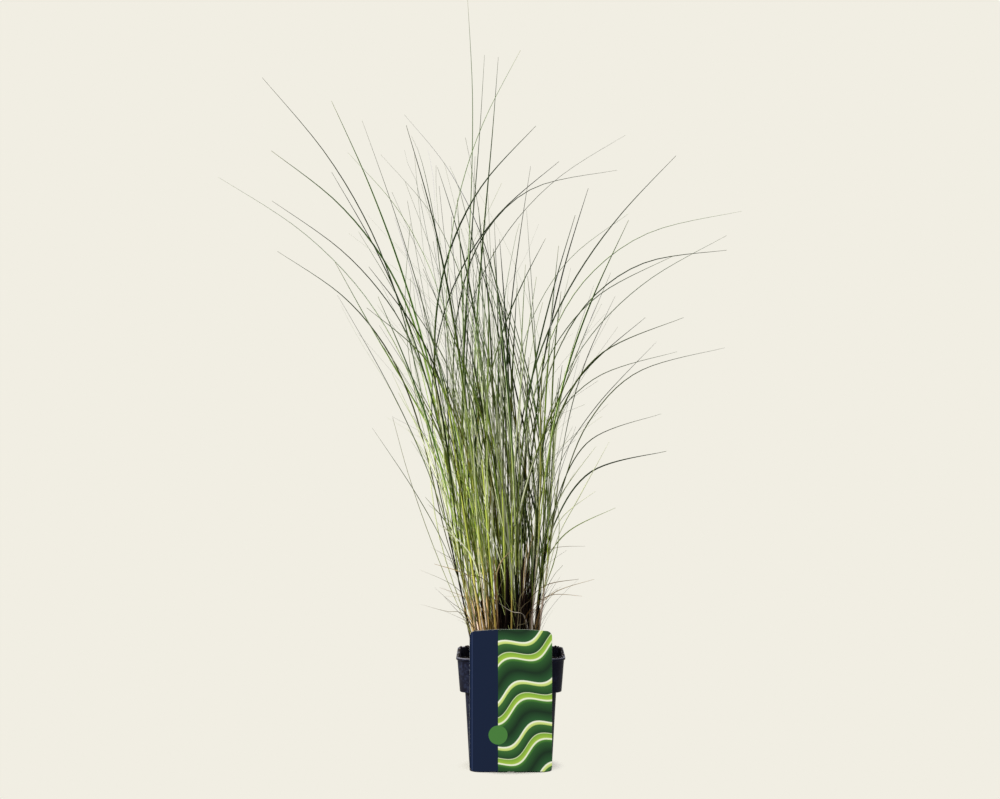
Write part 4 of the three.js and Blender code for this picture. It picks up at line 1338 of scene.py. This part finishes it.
def card_outline():
    """The card's edge seen from the front, anticlockwise from its lower right corner."""
    half, points = CARD_WIDTH / 2, []
    for turn_x, turn_z, start in (
        (half - CARD_CORNER, CARD_BOTTOM + CARD_CORNER, -90),
        (half - CARD_CORNER, CARD_TOP - CARD_CORNER, 0),
        (-half + CARD_CORNER, CARD_TOP - CARD_CORNER, 90),
        (-half + CARD_CORNER, CARD_BOTTOM + CARD_CORNER, 180),
    ):
        for i in range(CORNER_STEPS + 1):
            turn = math.radians(start + 90 * i / CORNER_STEPS)
            points.append((turn_x + CARD_CORNER * math.cos(turn), turn_z + CARD_CORNER * math.sin(turn)))
        if start == 0:
            for i in range(1, ARCH_STEPS):
                s = i / ARCH_STEPS
                x = (half - CARD_CORNER) * (1 - 2 * s)
                points.append((x, CARD_TOP + 4 * CARD_ARCH * s * (1 - s)))
    return points


def thicken(body, outline, direction):
    """Adds a flat face through an outline and pushes it out into a plate."""
    face = body.faces.new([body.verts.new(point) for point in outline])
    pushed = bmesh.ops.extrude_face_region(body, geom=[face])["geom"]
    bmesh.ops.translate(body, verts=[v for v in pushed if isinstance(v, bmesh.types.BMVert)], vec=direction)


body = bmesh.new()
thicken(body, [(x, CARD_BACK, z) for x, z in card_outline()], Vector((0, -CARD_THICK, 0)))
hook = (
    (CARD_BACK - CARD_THICK / 2, BRIDGE_TOP),
    (TONGUE_BACK + CARD_THICK, BRIDGE_TOP),
    (TONGUE_BACK + CARD_THICK, TONGUE_FOOT),
    (TONGUE_BACK, TONGUE_FOOT),
    (TONGUE_BACK, BRIDGE_TOP - CARD_THICK),
    (CARD_BACK - CARD_THICK / 2, BRIDGE_TOP - CARD_THICK),
)
thicken(body, [(-TONGUE_WIDTH / 2, y, z) for y, z in hook], Vector((TONGUE_WIDTH, 0, 0)))
card = made_from("picture_card", body)
soften = card.modifiers.new("soft edges", "BEVEL")
soften.width = EDGE_BEVEL
soften.segments = 2
soften.limit_method = "ANGLE"
baked(card)

# %% [markdown]
# ## Print on the card
# The print is a generic one in the colours of such cards: a navy strip with a fine rule on the left, a
# plain green disc, and rolling bands of dark green, lime and cream. The bands are one height divided into
# colours by a ramp, after a long sine wave has bent it. The sheet itself is satin white plastic, which
# shows at its edge and its back.

# %% Card materials
STRIP_EDGE = -CARD_WIDTH / 2 + 28.5 * MM
RULE_AT, RULE_HALF = -CARD_WIDTH / 2 + 2.6 * MM, 0.35 * MM
DISC_AT, DISC_RADIUS = (STRIP_EDGE, 40 * MM), 9.5 * MM
WAVE_LONG, WAVE_HIGH, WAVE_SWING = 64 * MM, 150 * MM, 7 * MM
BAND_REPEAT, BAND_SLOPE = 48 * MM, 0.45

print_paint, tree, shader, where = new_material("printed polypropylene card")
place = node(tree, "ShaderNodeSeparateXYZ", {0: where})
x, z = place.outputs["X"], place.outputs["Z"]
swing = calc(tree, "MULTIPLY_ADD", x, math.tau / WAVE_LONG, 0.4)
sway = calc(tree, "MULTIPLY_ADD", z, math.tau / WAVE_HIGH, swing)
crest = calc(tree, "SINE", sway)
bent = calc(tree, "MULTIPLY_ADD", crest, WAVE_SWING, z)
level = calc(tree, "MULTIPLY_ADD", x, -BAND_SLOPE, bent)
turns = calc(tree, "MULTIPLY", level, 1 / BAND_REPEAT)
share = calc(tree, "FRACT", turns)
bands = ramp(tree, share, (
    (0.0, "#17301f"), (0.22, "#2c5a2e"), (0.285, "#4f8a34"), (0.3, "#eef6dc"), (0.325, "#eef6dc"),
    (0.34, "#a4c84a"), (0.44, "#7fae3c"), (0.455, "#e4f0c8"), (0.47, "#1f4428"), (0.66, "#3c6f35"),
    (0.675, "#c3da78"), (0.72, "#d6e795"), (0.735, "#f2f8e6"), (0.755, "#f2f8e6"), (0.77, "#2b5b33"),
    (1.0, "#17301f"),
))
on_strip = calc(tree, "LESS_THAN", x, STRIP_EDGE)
from_rule = calc(tree, "COMPARE", x, RULE_AT, RULE_HALF)
flat_place = node(tree, "ShaderNodeCombineXYZ", {"X": x, "Y": z})
from_disc = vector_calc(tree, "DISTANCE", flat_place, (*DISC_AT, 0)).outputs["Value"]
in_disc = calc(tree, "LESS_THAN", from_disc, DISC_RADIUS)
picture = blend(tree, on_strip, bands, "#101f3c")
ruled = blend(tree, from_rule, picture, "#33426a")
printed = blend(tree, in_disc, ruled, "#48803e")
give(shader, {"Base Color": printed, "Roughness": 0.38, "IOR": 1.49, "Specular IOR Level": 0.25})

card_white, tree, shader, _ = new_material("white polypropylene sheet")
cloudy = node(tree, "ShaderNodeTexNoise", {"Scale": 1 / (4 * MM), "Detail": 3.0}).outputs["Fac"]
give(shader, {"Base Color": blend(tree, cloudy, "#d5dbd6", "#e9ece6"), "Roughness": 0.4})

card.data.materials.append(print_paint)
card.data.materials.append(card_white)
for face in card.data.polygons:
    front = face.normal.y < -0.9 and face.center.y < CARD_BACK - 0.9 * CARD_THICK
    face.material_index = 0 if front else 1
dress(card, "label_card", "label_card")
